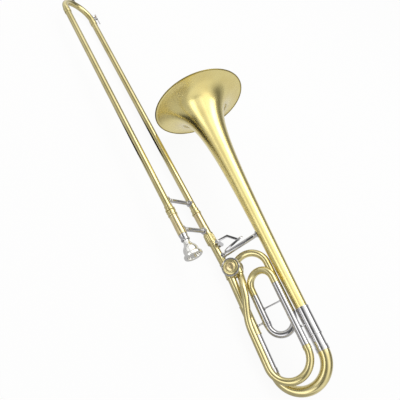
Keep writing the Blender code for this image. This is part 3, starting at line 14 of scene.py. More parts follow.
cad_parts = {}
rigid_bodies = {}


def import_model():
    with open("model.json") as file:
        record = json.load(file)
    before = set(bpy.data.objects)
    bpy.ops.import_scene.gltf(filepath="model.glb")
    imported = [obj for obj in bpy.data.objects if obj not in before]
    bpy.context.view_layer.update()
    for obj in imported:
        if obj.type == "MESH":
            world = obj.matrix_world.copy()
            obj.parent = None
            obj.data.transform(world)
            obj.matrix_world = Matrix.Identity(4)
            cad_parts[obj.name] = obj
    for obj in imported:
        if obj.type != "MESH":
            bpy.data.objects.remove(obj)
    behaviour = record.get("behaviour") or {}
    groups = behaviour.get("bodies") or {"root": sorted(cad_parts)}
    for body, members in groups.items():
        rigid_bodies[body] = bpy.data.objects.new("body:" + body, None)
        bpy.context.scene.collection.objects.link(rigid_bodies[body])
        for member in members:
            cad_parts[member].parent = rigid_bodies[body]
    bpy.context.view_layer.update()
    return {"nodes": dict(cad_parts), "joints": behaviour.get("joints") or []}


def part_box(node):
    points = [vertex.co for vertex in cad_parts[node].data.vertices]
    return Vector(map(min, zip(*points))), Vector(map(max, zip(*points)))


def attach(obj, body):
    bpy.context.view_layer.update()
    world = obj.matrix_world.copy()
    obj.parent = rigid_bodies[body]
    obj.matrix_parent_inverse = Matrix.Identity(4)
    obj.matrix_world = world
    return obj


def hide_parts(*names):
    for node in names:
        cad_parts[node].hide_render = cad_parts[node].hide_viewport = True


for left_over in list(bpy.data.objects):
    bpy.data.objects.remove(left_over)
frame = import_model()

# %% [markdown]
# ## Two sets of axes
# The hand slide and the bell section each have their own straight axis, a few degrees apart. The
# joints of the CAD part already know them: the slide's travel, the tuning slide's travel and the
# rotor's axis. All sizes below are millimetres along those axes, as on a workshop drawing.

# %% The two frames
MM = 0.001
joints = {joint["name"]: joint for joint in frame["joints"]}
slide_rear = -Vector(joints["hand_slide_travel"]["axis"]).normalized()
bell_rear = Vector(joints["tuning_slide_travel"]["axis"]).normalized()
face = -Vector(joints["rotor_turn"]["axis"]).normalized()
slide_side = face.cross(slide_rear).normalized()
bell_side = face.cross(bell_rear).normalized()

# The two axes cross at bell_home. The rotor stands at VALVE from there. The bell section is locked
# to the slide at slide_home, which lies NECK_TO_LOCK in front.
VALVE = (-8.0, 11.0)
NECK_TO_LOCK = 84.0
rotor_home = Vector(joints["rotor_turn"]["pos_m"])
bell_home = rotor_home - MM * (VALVE[0] * bell_rear + VALVE[1] * bell_side)
slide_home = bell_home - MM * NECK_TO_LOCK * slide_rear


def slide_at(x, y=0.0, z=0.0):
    """A point of the hand slide: x to the rear, y towards the bell, z towards the viewer."""
    return slide_home + MM * (x * slide_rear + y * slide_side + z * face)


def bell_at(s, t=0.0, w=0.0):
    """A point of the bell section: s to the rear, t towards the bell, w towards the viewer."""
    return bell_home + MM * (s * bell_rear + t * bell_side + w * face)


def slide_way(x, y, z):
    """A direction in the hand slide's axes."""
    return (x * slide_rear + y * slide_side + z * face).normalized()


def bell_way(s, t, w):
    """A direction in the bell section's axes."""
    return (s * bell_rear + t * bell_side + w * face).normalized()


print("slide home", slide_home, "bell home", bell_home)

# %% [markdown]
# ## Camera
# The photograph is taken from in front and above, with the instrument running down the picture
# from the upper left. The camera's place, its lens and its roll were worked out beforehand from
# the two slide tubes and the bell, so the script only states them.

# %% Camera
camera_data = bpy.data.cameras.new("photo_camera")
camera = bpy.data.objects.new("photo_camera", camera_data)
bpy.context.scene.collection.objects.link(camera)
camera_data.sensor_width = 36.0
camera_data.lens = 46.353
camera_data.clip_start = 0.05
camera_data.clip_end = 60.0
CAMERA_PLACE = (0.61337, -0.62523, 0.84357)
right = Vector((0.42961, 0.83332, 0.34787))
up = Vector((-0.78982, 0.16000, 0.59211))
look = Vector((-0.43776, 0.52913, -0.72691))
turned_to = Matrix((right, up, -look)).transposed().to_4x4()
camera.matrix_world = Matrix.Translation(CAMERA_PLACE) @ turned_to
bpy.context.scene.camera = camera
print("camera", round(Vector(CAMERA_PLACE).length, 3), "m from the origin")

# %% [markdown]
# ## Colours and nodes
# A paint chart gives colours as hex codes, while the renderer wants linear light, so one function
# turns the one into the other. A second adds a node with its settings and its links, and a third
# fills a colour ramp.


# %% Helpers for materials
def linear(code):
    """An sRGB hex code as linear red, green, blue and alpha."""
    parts = [int(code[i:i + 2], 16) / 255 for i in (0, 2, 4)]
    return [p / 12.92 if p <= 0.04045 else ((p + 0.055) / 1.055) ** 2.4 for p in parts] + [1.0]


def node(tree, kind, links=None, **settings):
    """Adds a node. Settings name its properties or its input sockets, links feed its sockets."""
    made = tree.nodes.new(kind)
    for key, value in settings.items():
        if hasattr(made, key):
            setattr(made, key, value)
        else:
            made.inputs[key.replace("_", " ")].default_value = value
    for socket, source in (links or {}).items():
        tree.links.new(source, made.inputs[socket])
    return made


def set_stops(ramp, stops):
    """Fills a colour ramp. stops lists (position, colour)."""
    while len(ramp.elements) > 1:
        ramp.elements.remove(ramp.elements[-1])
    for index, (position, colour) in enumerate(stops):
        stop = ramp.elements[0] if index == 0 else ramp.elements.new(position)
        stop.position = position
        stop.color = colour


# %% [markdown]
# ## Studio
# A polished tube shows nothing but its surroundings, so the studio makes the look of this object.
# The eye sees a pure white ground. The metal sees a room, with a wide soft light overhead and dim
# walls, which give the dark streaks along every tube. Its brightness depends on the angle around
# the instrument's length, and both ends of the room are white.

# %% World
# (angle, level): -90 degrees is straight down, 0 the viewer's horizon, 90 the ceiling, 180 the far
# horizon.
ROOM = ((-90, 0.30), (-20, 0.40), (0, 0.74), (16, 0.86), (30, 0.26), (42, 0.06), (55, 0.28),
        (68, 0.80), (90, 1.60), (108, 1.50), (126, 0.80), (144, 0.30), (158, 0.15), (178, 0.50))
WHITE = (1.0, 1.0, 1.0, 1.0)
MIX_A, MIX_B, MIX_OUT = 6, 7, 2  # the colour sockets of a Mix node

world = bpy.data.worlds.new("studio")
bpy.context.scene.world = world
world.use_nodes = True
tree = world.node_tree
tree.nodes.clear()
heading = node(tree, "ShaderNodeTexCoord")
axes = node(tree, "ShaderNodeSeparateXYZ", {"Vector": heading.outputs["Generated"]})
toward = node(tree, "ShaderNodeMath", {0: axes.outputs["Y"]}, operation="MULTIPLY")
toward.inputs[1].default_value = -1.0
angle = node(tree, "ShaderNodeMath", {0: axes.outputs["Z"], 1: toward.outputs[0]},
             operation="ARCTAN2")
turn = node(tree, "ShaderNodeMapRange", {"Value": angle.outputs[0]}, From_Min=-math.pi / 2,
            From_Max=math.pi * 1.5)
room = node(tree, "ShaderNodeValToRGB", {"Fac": turn.outputs["Result"]})
room.color_ramp.interpolation = "EASE"
set_stops(room.color_ramp, [((degrees + 90) / 360, (level, level, level * 0.98, 1.0))
                            for degrees, level in ROOM])
ends = node(tree, "ShaderNodeMath", {0: axes.outputs["X"]}, operation="ABSOLUTE")
end_share = node(tree, "ShaderNodeMapRange", {"Value": ends.outputs[0]},
                 interpolation_type="SMOOTHSTEP", From_Min=0.60, From_Max=0.98)
walls = node(tree, "ShaderNodeMix",
             {"Factor": end_share.outputs["Result"], MIX_A: room.outputs["Color"]},
             data_type="RGBA")
walls.inputs[MIX_B].default_value = (1.0, 1.0, 0.98, 1.0)
rays = node(tree, "ShaderNodeLightPath")
plain = node(tree, "ShaderNodeBackground", Color=WHITE, Strength=0.75)
mirrored = node(tree, "ShaderNodeBackground", {"Color": walls.outputs[MIX_OUT]})
ground = node(tree, "ShaderNodeBackground", Color=WHITE, Strength=1.0)
metal_sees = node(tree, "ShaderNodeMixShader", {0: rays.outputs["Is Glossy Ray"],
                                                1: plain.outputs[0], 2: mirrored.outputs[0]})
direct = node(tree, "ShaderNodeMath", {0: rays.outputs["Is Camera Ray"],
                                       1: rays.outputs["Is Transmission Ray"]},
              operation="ADD", use_clamp=True)
eye_sees = node(tree, "ShaderNodeMixShader", {0: direct.outputs[0], 1: metal_sees.outputs[0],
                                              2: ground.outputs[0]})
node(tree, "ShaderNodeOutputWorld", {"Surface": eye_sees.outputs[0]})
print("room with", len(ROOM), "levels of light")

# %% [markdown]
# ## Floor
# The floor is a plain pale sheet. To the camera it is nearly all white light of strength one, with
# a small share of real diffuse paint, so the instrument's shadow stays on it. The metal mirrors a
# bright floor, with painted shade in that mirror colour: darker on the viewer's side, with one
# black band across, which draws a dark streak in the bell.

# %% Floor
LIT_SHARE = 0.93
MIRROR_SHADE_REACH = 0.6
# (place along the instrument in metres, level) of the painted shade that the metal sees in the
# floor: the black band lies from -0.12 to -0.05.
MIRROR_SHADE_LEVELS = ((-0.20, 0.60), (-0.12, 0.01), (-0.05, 0.01), (-0.02, 0.64), (0.08, 0.64), (0.18, 0.56),
         (0.30, 0.50))

bpy.ops.object.select_all(action="DESELECT")
bpy.ops.mesh.primitive_plane_add(size=14.0, location=(0.0, 0.0, -0.0004))
floor = bpy.context.object
floor.name = "studio_floor"
paint = bpy.data.materials.new("pale floor paint")
paint.use_nodes = True
tree = paint.node_tree
tree.nodes.clear()
rays = node(tree, "ShaderNodeLightPath")
matt = node(tree, "ShaderNodeBsdfDiffuse", Color=linear("E6E5E3"))
glow = node(tree, "ShaderNodeEmission", Color=WHITE, Strength=1.0)
seen = node(tree, "ShaderNodeMath", {0: rays.outputs["Is Camera Ray"]}, operation="MULTIPLY")
seen.inputs[1].default_value = LIT_SHARE
share = node(tree, "ShaderNodeMath", {0: seen.outputs[0], 1: rays.outputs["Is Transmission Ray"]},
             operation="ADD", use_clamp=True)
lit = node(tree, "ShaderNodeMixShader", {0: share.outputs[0], 1: matt.outputs[0],
                                         2: glow.outputs[0]})
spot = node(tree, "ShaderNodeTexCoord")
axes = node(tree, "ShaderNodeSeparateXYZ", {"Vector": spot.outputs["Object"]})
# Painted shade: the floor as the metal sees it is darker on the viewer's side.
before = node(tree, "ShaderNodeMapRange", {"Value": axes.outputs["Y"]},
              interpolation_type="SMOOTHSTEP", From_Min=-0.01, From_Max=-0.06)
along = node(tree, "ShaderNodeMapRange", {"Value": axes.outputs["X"]}, From_Min=-MIRROR_SHADE_REACH,
             From_Max=MIRROR_SHADE_REACH)
# Painted shade: a black band across the viewer's side, drawn into the floor's mirror colour.
painted_shade_ramp = node(tree, "ShaderNodeValToRGB", {"Fac": along.outputs["Result"]})
set_stops(painted_shade_ramp.color_ramp, [((x + MIRROR_SHADE_REACH) / (2 * MIRROR_SHADE_REACH), (level, level, level, 1.0))
                             for x, level in MIRROR_SHADE_LEVELS])
shade = node(tree, "ShaderNodeMix",
             {"Factor": before.outputs["Result"], MIX_B: painted_shade_ramp.outputs["Color"]}, data_type="RGBA")
shade.inputs[MIX_A].default_value = (0.80, 0.80, 0.80, 1.0)
# This painted shade glows for the metal alone; the camera sees the white floor.
mirrored = node(tree, "ShaderNodeEmission", {"Color": shade.outputs[MIX_OUT]}, Strength=1.0)
mixed = node(tree, "ShaderNodeMixShader", {0: rays.outputs["Is Glossy Ray"], 1: lit.outputs[0],
                                           2: mirrored.outputs[0]})
node(tree, "ShaderNodeOutputMaterial", {"Surface": mixed.outputs[0]})
floor.data.materials.append(paint)

# %% [markdown]
# ## Lamps
# Two soft boxes light everything, one overhead and one in front. The bell and the thin tubes want
# different amounts of light on the viewer's side, so each has a fill box of its own. Light linking
# keeps such a lamp to one collection of pieces, where a photographer would use a small card.


# %% Lamps
def soft_lamp(name, place, aim, size, power):
    """A soft box of size (width, depth) in metres that points from its place to its aim."""
    bpy.ops.object.light_add(type="AREA", location=place)
    lamp = bpy.context.object
    lamp.name = name
    lamp.data.shape = "RECTANGLE"
    lamp.data.size, lamp.data.size_y = size
    lamp.data.energy = power
    lamp.visible_camera = False
    lamp.rotation_euler = (Vector(aim) - Vector(place)).to_track_quat("-Z", "Y").to_euler()
    return lamp


soft_lamp("overhead_soft_box", (-0.3, 0.55, 1.7), (0.0, 0.0, 0.0), (2.2, 0.9), 12.0)
soft_lamp("front_soft_box", (0.6, -1.9, 0.75), (0.0, 0.0, 0.05), (2.4, 0.7), 6.0)
lit_only = {}
for finish, place, depth, power in (("bell", (0.0, -1.05, 1.28), 1.7, 12.0),
                                    ("tubes", (0.0, -1.32, 0.95), 0.85, 1.7)):
    fill = soft_lamp(finish + "_fill_box", place, (0.0, 0.0, 0.05), (3.0, depth), power)
    lit_only[finish] = bpy.data.collections.new(finish + "_lit_by_fill")
    fill.light_linking.receiver_collection = lit_only[finish]
bpy.context.scene.view_settings.view_transform = "Standard"
print("fill boxes for", ", ".join(lit_only))

# %% [markdown]
# ## Finishes
# Lacquered yellow brass is buffed, then sprayed with clear lacquer, so it mirrors softly under a
# glassy skin. The reflections are bent a little by the buffing wheel, and the tone drifts over a
# few centimetres. One function makes every polished metal here from its colour, its polish and the
# depth of its buffing marks, because the real ones differ in just those.


# %% Polished metal
def polished_metal(name, light, deep, roughness, coat, wave=0.00002, marks=0.000001):
    """A buffed metal. light and deep are its tones, wave and marks the depth of its buffing."""
    material = bpy.data.materials.new(name)
    material.use_nodes = True
    tree = material.node_tree
    shader = tree.nodes["Principled BSDF"]
    place = node(tree, "ShaderNodeTexCoord")
    # Tone drifts over about 35 mm, which is 1 / 0.035 = 28 per metre.
    drift = node(tree, "ShaderNodeTexNoise", {"Vector": place.outputs["Object"]}, Scale=28.0,
                 Detail=3.0)
    tones = node(tree, "ShaderNodeValToRGB", {"Fac": drift.outputs["Fac"]})
    set_stops(tones.color_ramp, [(0.30, linear(deep)), (0.62, linear(light))])
    tree.links.new(tones.outputs["Color"], shader.inputs["Base Color"])
    # Buffing marks run round the tubes. Real ones are a tenth of a millimetre wide and would not
    # show, so they are drawn 1.5 mm wide and 12 mm long.
    stretch = node(tree, "ShaderNodeMapping", {"Vector": place.outputs["Object"]},
                   Scale=(670.0, 83.0, 83.0))
    lines = node(tree, "ShaderNodeTexNoise", {"Vector": stretch.outputs["Vector"]}, Scale=1.0,
                 Detail=2.0)
    gloss = node(tree, "ShaderNodeMapRange", {"Value": lines.outputs["Fac"]}, From_Min=0.25,
                 From_Max=0.75, To_Min=roughness * 0.9, To_Max=roughness * 1.12)
    tree.links.new(gloss.outputs["Result"], shader.inputs["Roughness"])
    # The wheel also leaves the surface wavy, over about 22 mm.
    swell = node(tree, "ShaderNodeTexNoise", {"Vector": place.outputs["Object"]}, Scale=45.0,
                 Detail=1.0)
    broad = node(tree, "ShaderNodeBump", {"Height": swell.outputs["Fac"]}, Strength=1.0,
                 Distance=wave)
    fine = node(tree, "ShaderNodeBump",
                {"Height": lines.outputs["Fac"], "Normal": broad.outputs["Normal"]},
                Strength=1.0, Distance=marks)
    tree.links.new(fine.outputs["Normal"], shader.inputs["Normal"])
    shader.inputs["Metallic"].default_value = 1.0
    shader.inputs["Coat Weight"].default_value = coat
    shader.inputs["Coat Roughness"].default_value = 0.06
    return material


# Yellow brass tube, buffed and lacquered: a soft golden mirror under a glassy skin.
lacquered_brass = polished_metal("lacquered yellow brass, buffed", "DCCF9A", "CBBE86", 0.17, 0.35)
# Spun sheet is never as smooth as drawn tube, so the bell mirrors wide, blurred lights.
bell_brass = polished_metal("spun yellow brass, lacquered", "E9DA94", "E2D088", 0.25, 0.60)
# The rolled rim has a darker, duller tone with deep marks: painted shade that draws a dark line
# round the rim.
painted_shade_rim_brass = polished_metal("rolled brass rim", "A09150", "8A7C42", 0.32, 0.20, 0.00004, 0.000004)
# More copper in the alloy gives the barrels a warmer tone than the tubes.
rose_brass = polished_metal("rose brass, lacquered", "E6D6A6", "DCC896", 0.20, 0.30)
# Nickel silver has no lacquer: a clear, slightly grey mirror that shows every dark streak, also the
# painted shade in the floor.
nickel_silver = polished_metal("nickel silver, polished", "CDCCCD", "B8B7BA", 0.13, 0.0)
# Silver plate on the inner tubes is the brightest and sharpest mirror of all.
silver_plate = polished_metal("silver plate, mirror polished", "F2F1EE", "E6E5E2", 0.07, 0.0)
# The cup has the same plate on turned brass, where fine tool marks soften it.
plated_cup = polished_metal("silver plate, mouthpiece", "F6F5F2", "ECEBE8", 0.12, 0.0)

# %% [markdown]
# ## Cork and rubber
# Cork is bark cut into thin sheets: warm brown, with dark pores of about a millimetre. Rubber is
# moulded black, dull, and a little grey where it is rubbed.

# %% Cork and rubber
cork = bpy.data.materials.new("cork sheet")
cork.use_nodes = True
tree = cork.node_tree
shader = tree.nodes["Principled BSDF"]
place = node(tree, "ShaderNodeTexCoord")
# Pores 1.1 mm apart are 1 / 0.0011 = 900 per metre.
grain = node(tree, "ShaderNodeTexVoronoi", {"Vector": place.outputs["Object"]}, Scale=900.0)
pores = node(tree, "ShaderNodeValToRGB", {"Fac": grain.outputs["Distance"]})
set_stops(pores.color_ramp, [(0.0, linear("6B4A2C")), (0.45, linear("B8905F"))])
tree.links.new(pores.outputs["Color"], shader.inputs["Base Color"])
pits = node(tree, "ShaderNodeBump", {"Height": grain.outputs["Distance"]}, Strength=0.6,
            Distance=0.0002)
tree.links.new(pits.outputs["Normal"], shader.inputs["Normal"])
shader.inputs["Roughness"].default_value = 0.85

rubber = bpy.data.materials.new("moulded rubber")
rubber.use_nodes = True
tree = rubber.node_tree
shader = tree.nodes["Principled BSDF"]
place = node(tree, "ShaderNodeTexCoord")
# Rubbed patches of 2.5 mm are 1 / 0.0025 = 400 per metre.
bloom = node(tree, "ShaderNodeTexNoise", {"Vector": place.outputs["Object"]}, Scale=400.0,
             Detail=4.0)
greys = node(tree, "ShaderNodeValToRGB", {"Fac": bloom.outputs["Fac"]})
set_stops(greys.color_ramp, [(0.0, linear("1B1B1C")), (1.0, linear("343436"))])
tree.links.new(greys.outputs["Color"], shader.inputs["Base Color"])
skin = node(tree, "ShaderNodeBump", {"Height": bloom.outputs["Fac"]}, Strength=0.4,
            Distance=0.0001)
tree.links.new(skin.outputs["Normal"], shader.inputs["Normal"])
shader.inputs["Roughness"].default_value = 0.62
print("soft finishes:", cork.name, "and", rubber.name)

# %% [markdown]
# ## Drawing with one ring
# A tube is easiest to make the way metal is drawn: a circle of vertices stands where the tube
# starts, is extruded to the next place, tilted to the new direction and scaled to the new radius.
# The same three steps make every turned piece too, where the direction stays and only the radius
# changes. Coming back inside with a smaller radius gives the wall its thickness.


# %% Rings
def draw_rings(name, rings, sides, capped):
    """Extrudes one circle through rings of (point, way, radius) and leaves a closed surface."""
    here, way, radius = rings[0]
    bpy.ops.object.select_all(action="DESELECT")
    bpy.ops.mesh.primitive_circle_add(vertices=sides, radius=radius, location=here,
                                      rotation=way.to_track_quat("Z", "Y").to_euler())
    piece = bpy.context.object
    piece.name = name
    piece.data.name = name
    bpy.ops.object.mode_set(mode="EDIT")
    for there, new_way, new_radius in rings[1:]:
        bpy.ops.mesh.extrude_region_move(TRANSFORM_OT_translate={"value": there - here})
        # With no window, transform.rotate only turns about the world's axes, and the other way.
        # So the turn to the new way is taken apart into one about X, one about Y and one about Z.
        for axis, angle in zip("XYZ", way.rotation_difference(new_way).to_euler("XYZ")):
            if abs(angle) > 1e-6:
                bpy.ops.transform.rotate(value=-angle, orient_axis=axis, orient_type="GLOBAL",
                                         center_override=there)
        if abs(new_radius - radius) > 1e-8:
            grow = new_radius / radius
            bpy.ops.transform.resize(value=(grow, grow, grow), center_override=there)
        here, way, radius = there, new_way, new_radius
    bpy.ops.mesh.select_all(action="SELECT")
    bpy.ops.mesh.remove_doubles(threshold=0.000005)
    if capped:
        bpy.ops.mesh.select_all(action="DESELECT")
        bpy.ops.mesh.select_non_manifold()
        bpy.ops.mesh.fill_holes(sides=0)
        bpy.ops.mesh.select_all(action="SELECT")
    bpy.ops.mesh.normals_make_consistent(inside=False)
    bpy.ops.object.mode_set(mode="OBJECT")
    return settle(piece)


def pick(piece):
    """Selects one object and nothing else."""
    bpy.ops.object.select_all(action="DESELECT")
    piece.select_set(True)
    bpy.context.view_layer.objects.active = piece


def settle(piece, sharp=38):
    """Puts a piece's place into its mesh and shades it smooth up to a sharp angle."""
    pick(piece)
    bpy.ops.object.transform_apply(location=True, rotation=True, scale=True)
    bpy.ops.object.shade_smooth_by_angle(angle=math.radians(sharp))
    return piece


# %% [markdown]
# ## Turned pieces
# A turner never leaves a sharp edge, and a rounded edge is what catches the light. So the outline
# of a turned piece is softened before it is drawn: each corner becomes a small curve. A hollow
# piece goes back along its bore and ends where it began, so it is a closed body with a wall.


# %% Turned pieces
def softened(outline, size):
    """Rounds the corners of an outline of (distance, radius) with curves of about that size."""
    made = [outline[0]]
    for before, corner, after in zip(outline, outline[1:], outline[2:]):
        a, b, c = Vector(before), Vector(corner), Vector(after)
        back = min(size, (a - b).length * 0.45)
        on = min(size, (c - b).length * 0.45)
        p = b + (a - b).normalized() * back
        q = b + (c - b).normalized() * on
        for share in (0.0, 0.33, 0.67, 1.0):
            curve = p * (1 - share) ** 2 + b * 2 * share * (1 - share) + q * share ** 2
            made.append((curve.x, curve.y))
    made.append(outline[-1])
    return made


def both_ends(line, length):
    """Adds the mirror image of an outline's beginning at its other end."""
    return line + [(length - d, r) for d, r in reversed(line)]


def turned(name, foot, way, outline, bore=None, soft=0.5, sides=48):
    """A turned piece. outline and bore list (distance from the foot, radius) in millimetres."""
    line = softened(outline, soft)
    if bore:
        line = line + list(reversed(bore)) + [outline[0]]
    rings = [(foot + MM * d * way, way, MM * r) for d, r in line]
    return draw_rings(name, rings, sides, capped=not bore)


# %% [markdown]
# ## Routes for tubes
# Bent tubing is listed as a route: straight runs, and bends that turn round a centre. Each stop
# has a point and a way. The outside is drawn along the route and the bore back along it.


# %% Routes for tubes
def run(start, end):
    """A straight stretch from one point to another."""
    way = (end - start).normalized()
    return [(start, way), (end, way)]


def bend(centre, start, turn, radius, degrees=180.0, steps=28):
    """Part of a circle in millimetres, from the direction start towards the direction turn."""
    route = []
    for i in range(steps + 1):
        a = math.radians(degrees) * i / steps
        route.append((centre + MM * radius * (math.cos(a) * start + math.sin(a) * turn),
                      (math.cos(a) * turn - math.sin(a) * start)))
    return route


def joined(*parts):
    """One route of several, without points that fall together."""
    route = []
    for part in parts:
        for point, way in part:
            if not route or (point - route[-1][0]).length > 1e-5:
                route.append((point, way))
    return route


def pipe(name, route, outside, wall=0.6, end_outside=None, sides=40):
    """A tube along a route, with its wall. end_outside is given where the tube widens."""
    last = outside if end_outside is None else end_outside
    lengths = [0.0]
    for (a, _), (b, _) in zip(route, route[1:]):
        lengths.append(lengths[-1] + (b - a).length)
    radii = [outside + (last - outside) * length / lengths[-1] for length in lengths]
    outer = [(p, w, MM * r) for (p, w), r in zip(route, radii)]
    inner = [(p, w, MM * (r - wall)) for (p, w), r in zip(route, radii)]
    return draw_rings(name, outer + inner[::-1] + outer[:1], sides, capped=False)


# %% [markdown]
# ## Finishing a piece
# Each new piece gets its metal, rides on its body and stands for the CAD piece that it refines. It
# also joins the collection of the fill box that lights its finish.


# %% Finishing a piece
def fit(piece, body, material, slot, *nodes):
    """Gives a piece its material, its body and the CAD nodes that it stands for."""
    piece.data.materials.clear()
    piece.data.materials.append(material)
    if material in (bell_brass, plated_cup):
        lit_only["bell"].objects.link(piece)
    elif slot in ("lacquered_brass", "rose_brass"):
        lit_only["tubes"].objects.link(piece)
    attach(piece, body)
    if nodes:
        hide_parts(*nodes)
    print(piece.name, "on", body, "with", len(piece.data.polygons), "faces")
    return piece


def in_brass(piece, body, *nodes):
    """Finishes a piece in lacquered brass."""
    return fit(piece, body, lacquered_brass, "lacquered_brass", *nodes)


def in_silver(piece, body, *nodes):
    """Finishes a piece in nickel silver."""
    return fit(piece, body, nickel_silver, "nickel_silver", *nodes)


# %% [markdown]
# ## Outer slide
# Two long thin tubes, drawn so true that they run on the inner pair without shake. A ferrule at
# the front holds the bow, a ring at the rear stiffens the mouth, and both are turned with small
# beads.

# %% Outer tubes, ferrules and end rings
OUTER_R = 7.75
INNER_R = 7.05
OUTER_REAR = -75.0
END_RING_X = -80.6
BOW_X = -731.0
# The bell-side tube is the axis. The mouthpiece-side tube lies at (y, z) from it.
MOUTH_YZ = (-27.0, 82.7)
SIDES = {"bell_side": (0.0, 0.0), "mouthpiece_side": MOUTH_YZ}
across = slide_way(0.0, *MOUTH_YZ)
BOW_R = math.hypot(*MOUTH_YZ) / 2
for side, (y, z) in SIDES.items():
    tube = pipe("slide_tube_" + side,
                run(slide_at(BOW_X + 9.0, y, z), slide_at(OUTER_REAR, y, z)), OUTER_R, 0.4)
    in_brass(tube, "hand_slide", "outer_tube_" + side)
    ferrule = turned("slide_ferrule_" + side, slide_at(BOW_X + 1.0, y, z), slide_rear,
                     [(0, 8.4), (0.2, 8.9), (2.0, 8.9), (2.4, 8.55), (3.0, 8.55), (3.4, 8.8),
                      (12.6, 8.8), (13.0, 8.5), (13.6, 8.5), (14.0, 8.85), (16.2, 8.85),
                      (17.0, 8.35)],
                     [(0, 8.35), (17.0, 8.05)], soft=0.25)
    in_brass(ferrule, "hand_slide", "bow_ferrule_" + side)
    ring = turned("slide_mouth_ring_" + side, slide_at(END_RING_X, y, z), slide_rear,
                  [(0, 8.4), (1.2, 9.0), (2.2, 9.0), (2.6, 8.7), (7.4, 8.7), (7.8, 9.1),
                   (8.6, 9.1), (9.0, 8.6), (9.5, 8.6), (9.8, 9.8), (10.5, 10.3), (12.8, 10.3),
                   (13.6, 9.8), (14.0, 9.0)],
                  [(0, 8.05), (14.0, 8.05)], soft=0.5)
    in_brass(ring, "hand_slide", "end_ring_" + side)

# %% [markdown]
# ## Slide bow
# The bow is one tube bent through a half turn. A short run at each end slips into the ferrules.

# %% Slide bow
bow_middle = slide_at(BOW_X) + MM * BOW_R * across
bow = pipe("slide_bow_tube", joined(
    run(slide_at(BOW_X + 8.7, 0, 0), slide_at(BOW_X + 0.4, 0, 0)),
    bend(bow_middle, -across, -slide_rear, BOW_R, steps=36),
    run(slide_at(BOW_X + 0.4, *MOUTH_YZ), slide_at(BOW_X + 8.7, *MOUTH_YZ))),
    OUTER_R, 0.8, sides=48)
in_brass(bow, "hand_slide", "slide_bow")


# %% [markdown]
# ## Saddles and braces
# A brace across two tubes can't be soldered by its end alone. It stands on a round saddle whose
# underside is hollowed to the tube. The saddle is turned as a low disc, and a cylinder a little
# wider than the tube cuts its underside, which is what a file does on the bench.


# %% Saddles
def cut_away(piece, cutter):
    """Cuts one closed shape out of a piece and removes that shape."""
    cut = piece.modifiers.new("cut", "BOOLEAN")
    cut.operation = "DIFFERENCE"
    cut.solver = "EXACT"
    cut.object = cutter
    bpy.context.view_layer.objects.active = piece
    bpy.ops.object.modifier_apply(modifier=cut.name)
    bpy.data.objects.remove(cutter)


def hollowed(piece, foot, along, tube_r, sides=72):
    """Cuts the room of a tube out of a piece."""
    bpy.ops.object.select_all(action="DESELECT")
    bpy.ops.mesh.primitive_cylinder_add(vertices=sides, radius=MM * tube_r, depth=MM * 120.0,
                                        location=foot,
                                        rotation=along.to_track_quat("Z", "Y").to_euler())
    cut_away(piece, bpy.context.object)
    return settle(piece, sharp=30)


def saddle(name, foot, out, along, tube_r, radius=7.5, thick=1.4):
    """A round saddle on a tube. foot is on the tube's axis, out points to the brace."""
    top = tube_r + thick
    disc = turned(name, foot, out,
                  [(tube_r * 0.6, radius), (top - 0.7, radius), (top - 0.1, radius - 0.9),
                   (top, radius - 2.2), (top, 1.0)], soft=0.3, sides=64)
    return hollowed(disc, foot, along, tube_r + 0.3)


# %% [markdown]
# The braces of the hand slide are grips as well: a slim tube with a collar near each end, where
# the fingers stop.


# %% Braces of the hand slide
def slide_brace(name, x, radius, tube_r):
    """The bar between the saddles of two slide tubes, with two grooves near each end."""
    margin = tube_r + 1.7
    start = slide_at(x) + MM * margin * across
    span = 2 * BOW_R - 2 * margin
    line = [(0, radius)]
    slim = radius * 0.86
    for share, r in ((0.04, radius), (0.05, slim), (0.065, slim), (0.075, radius),
                     (0.12, radius), (0.13, slim), (0.145, slim), (0.155, radius)):
        line.append((span * share, r))
    return turned(name, start, across, both_ends(line, span), soft=0.6)


for part, x, radius, tube_r, body in (("outer", -96.0, 4.2, OUTER_R, "hand_slide"),
                                      ("inner", -22.5, 4.6, 9.3, "bell_section")):
    in_silver(slide_brace(part + "_slide_brace", x, radius, tube_r), body, part + "_brace")
    for side, (y, z) in SIDES.items():
        out = across if side == "bell_side" else -across
        foot = saddle(part + "_brace_saddle_" + side, slide_at(x, y, z), out, slide_rear, tube_r)
        in_silver(foot, body, part + "_brace_flange_" + side)

# %% [markdown]
# ## Bumper
# The rubber bumper lets the slide rest on the floor. It is moulded to the bow, so it is turned
# first, and a torus a little thicker than the bow's tube then cuts its seat.

# %% Bumper
tip = bow_middle - MM * (BOW_R + 8.0) * slide_rear
bumper = turned("rubber_bumper", tip + MM * 3.5 * slide_rear, -slide_rear,
                [(0, 5.7), (1.2, 6.0), (3.4, 6.0), (4.0, 5.6), (4.6, 5.6), (5.2, 6.0), (9.6, 6.0),
                 (11.2, 5.0), (11.48, 2.0), (11.48, 0.6)], soft=0.8)
bpy.ops.object.select_all(action="DESELECT")
bow_plane = slide_rear.cross(across).to_track_quat("Z", "Y").to_euler()
bpy.ops.mesh.primitive_torus_add(location=bow_middle, rotation=bow_plane, major_radius=MM * BOW_R,
                                 minor_radius=MM * 8.3, major_segments=160, minor_segments=48)
cut_away(bumper, bpy.context.object)
fit(settle(bumper), "hand_slide", rubber, "rubber", "slide_bumper")

# %% [markdown]
# ## Water key
# The water key is a rocking lever: its cork pad shuts a small chimney on the bow. The lever, its
# ears and its post are filed from plate, so each is an outline that is extruded and bevelled. The
# pin, pad, cup and chimney are turned.

# %% Water key
PAD_HALF = 0.8
key_pin = Vector(joints["water_key_turn"]["pos_m"])
key_across = Vector(joints["water_key_turn"]["axis"]).normalized()
key_out = slide_rear.cross(key_across).normalized()
if key_out.dot(key_pin - slide_at(-735.5)) < 0:
    key_out = -key_out
key_low, key_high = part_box("water_key_pad")
pad_centre = (key_low + key_high) / 2
KEY_TOP = (pad_centre - key_pin).dot(key_out) / MM + PAD_HALF + 0.3


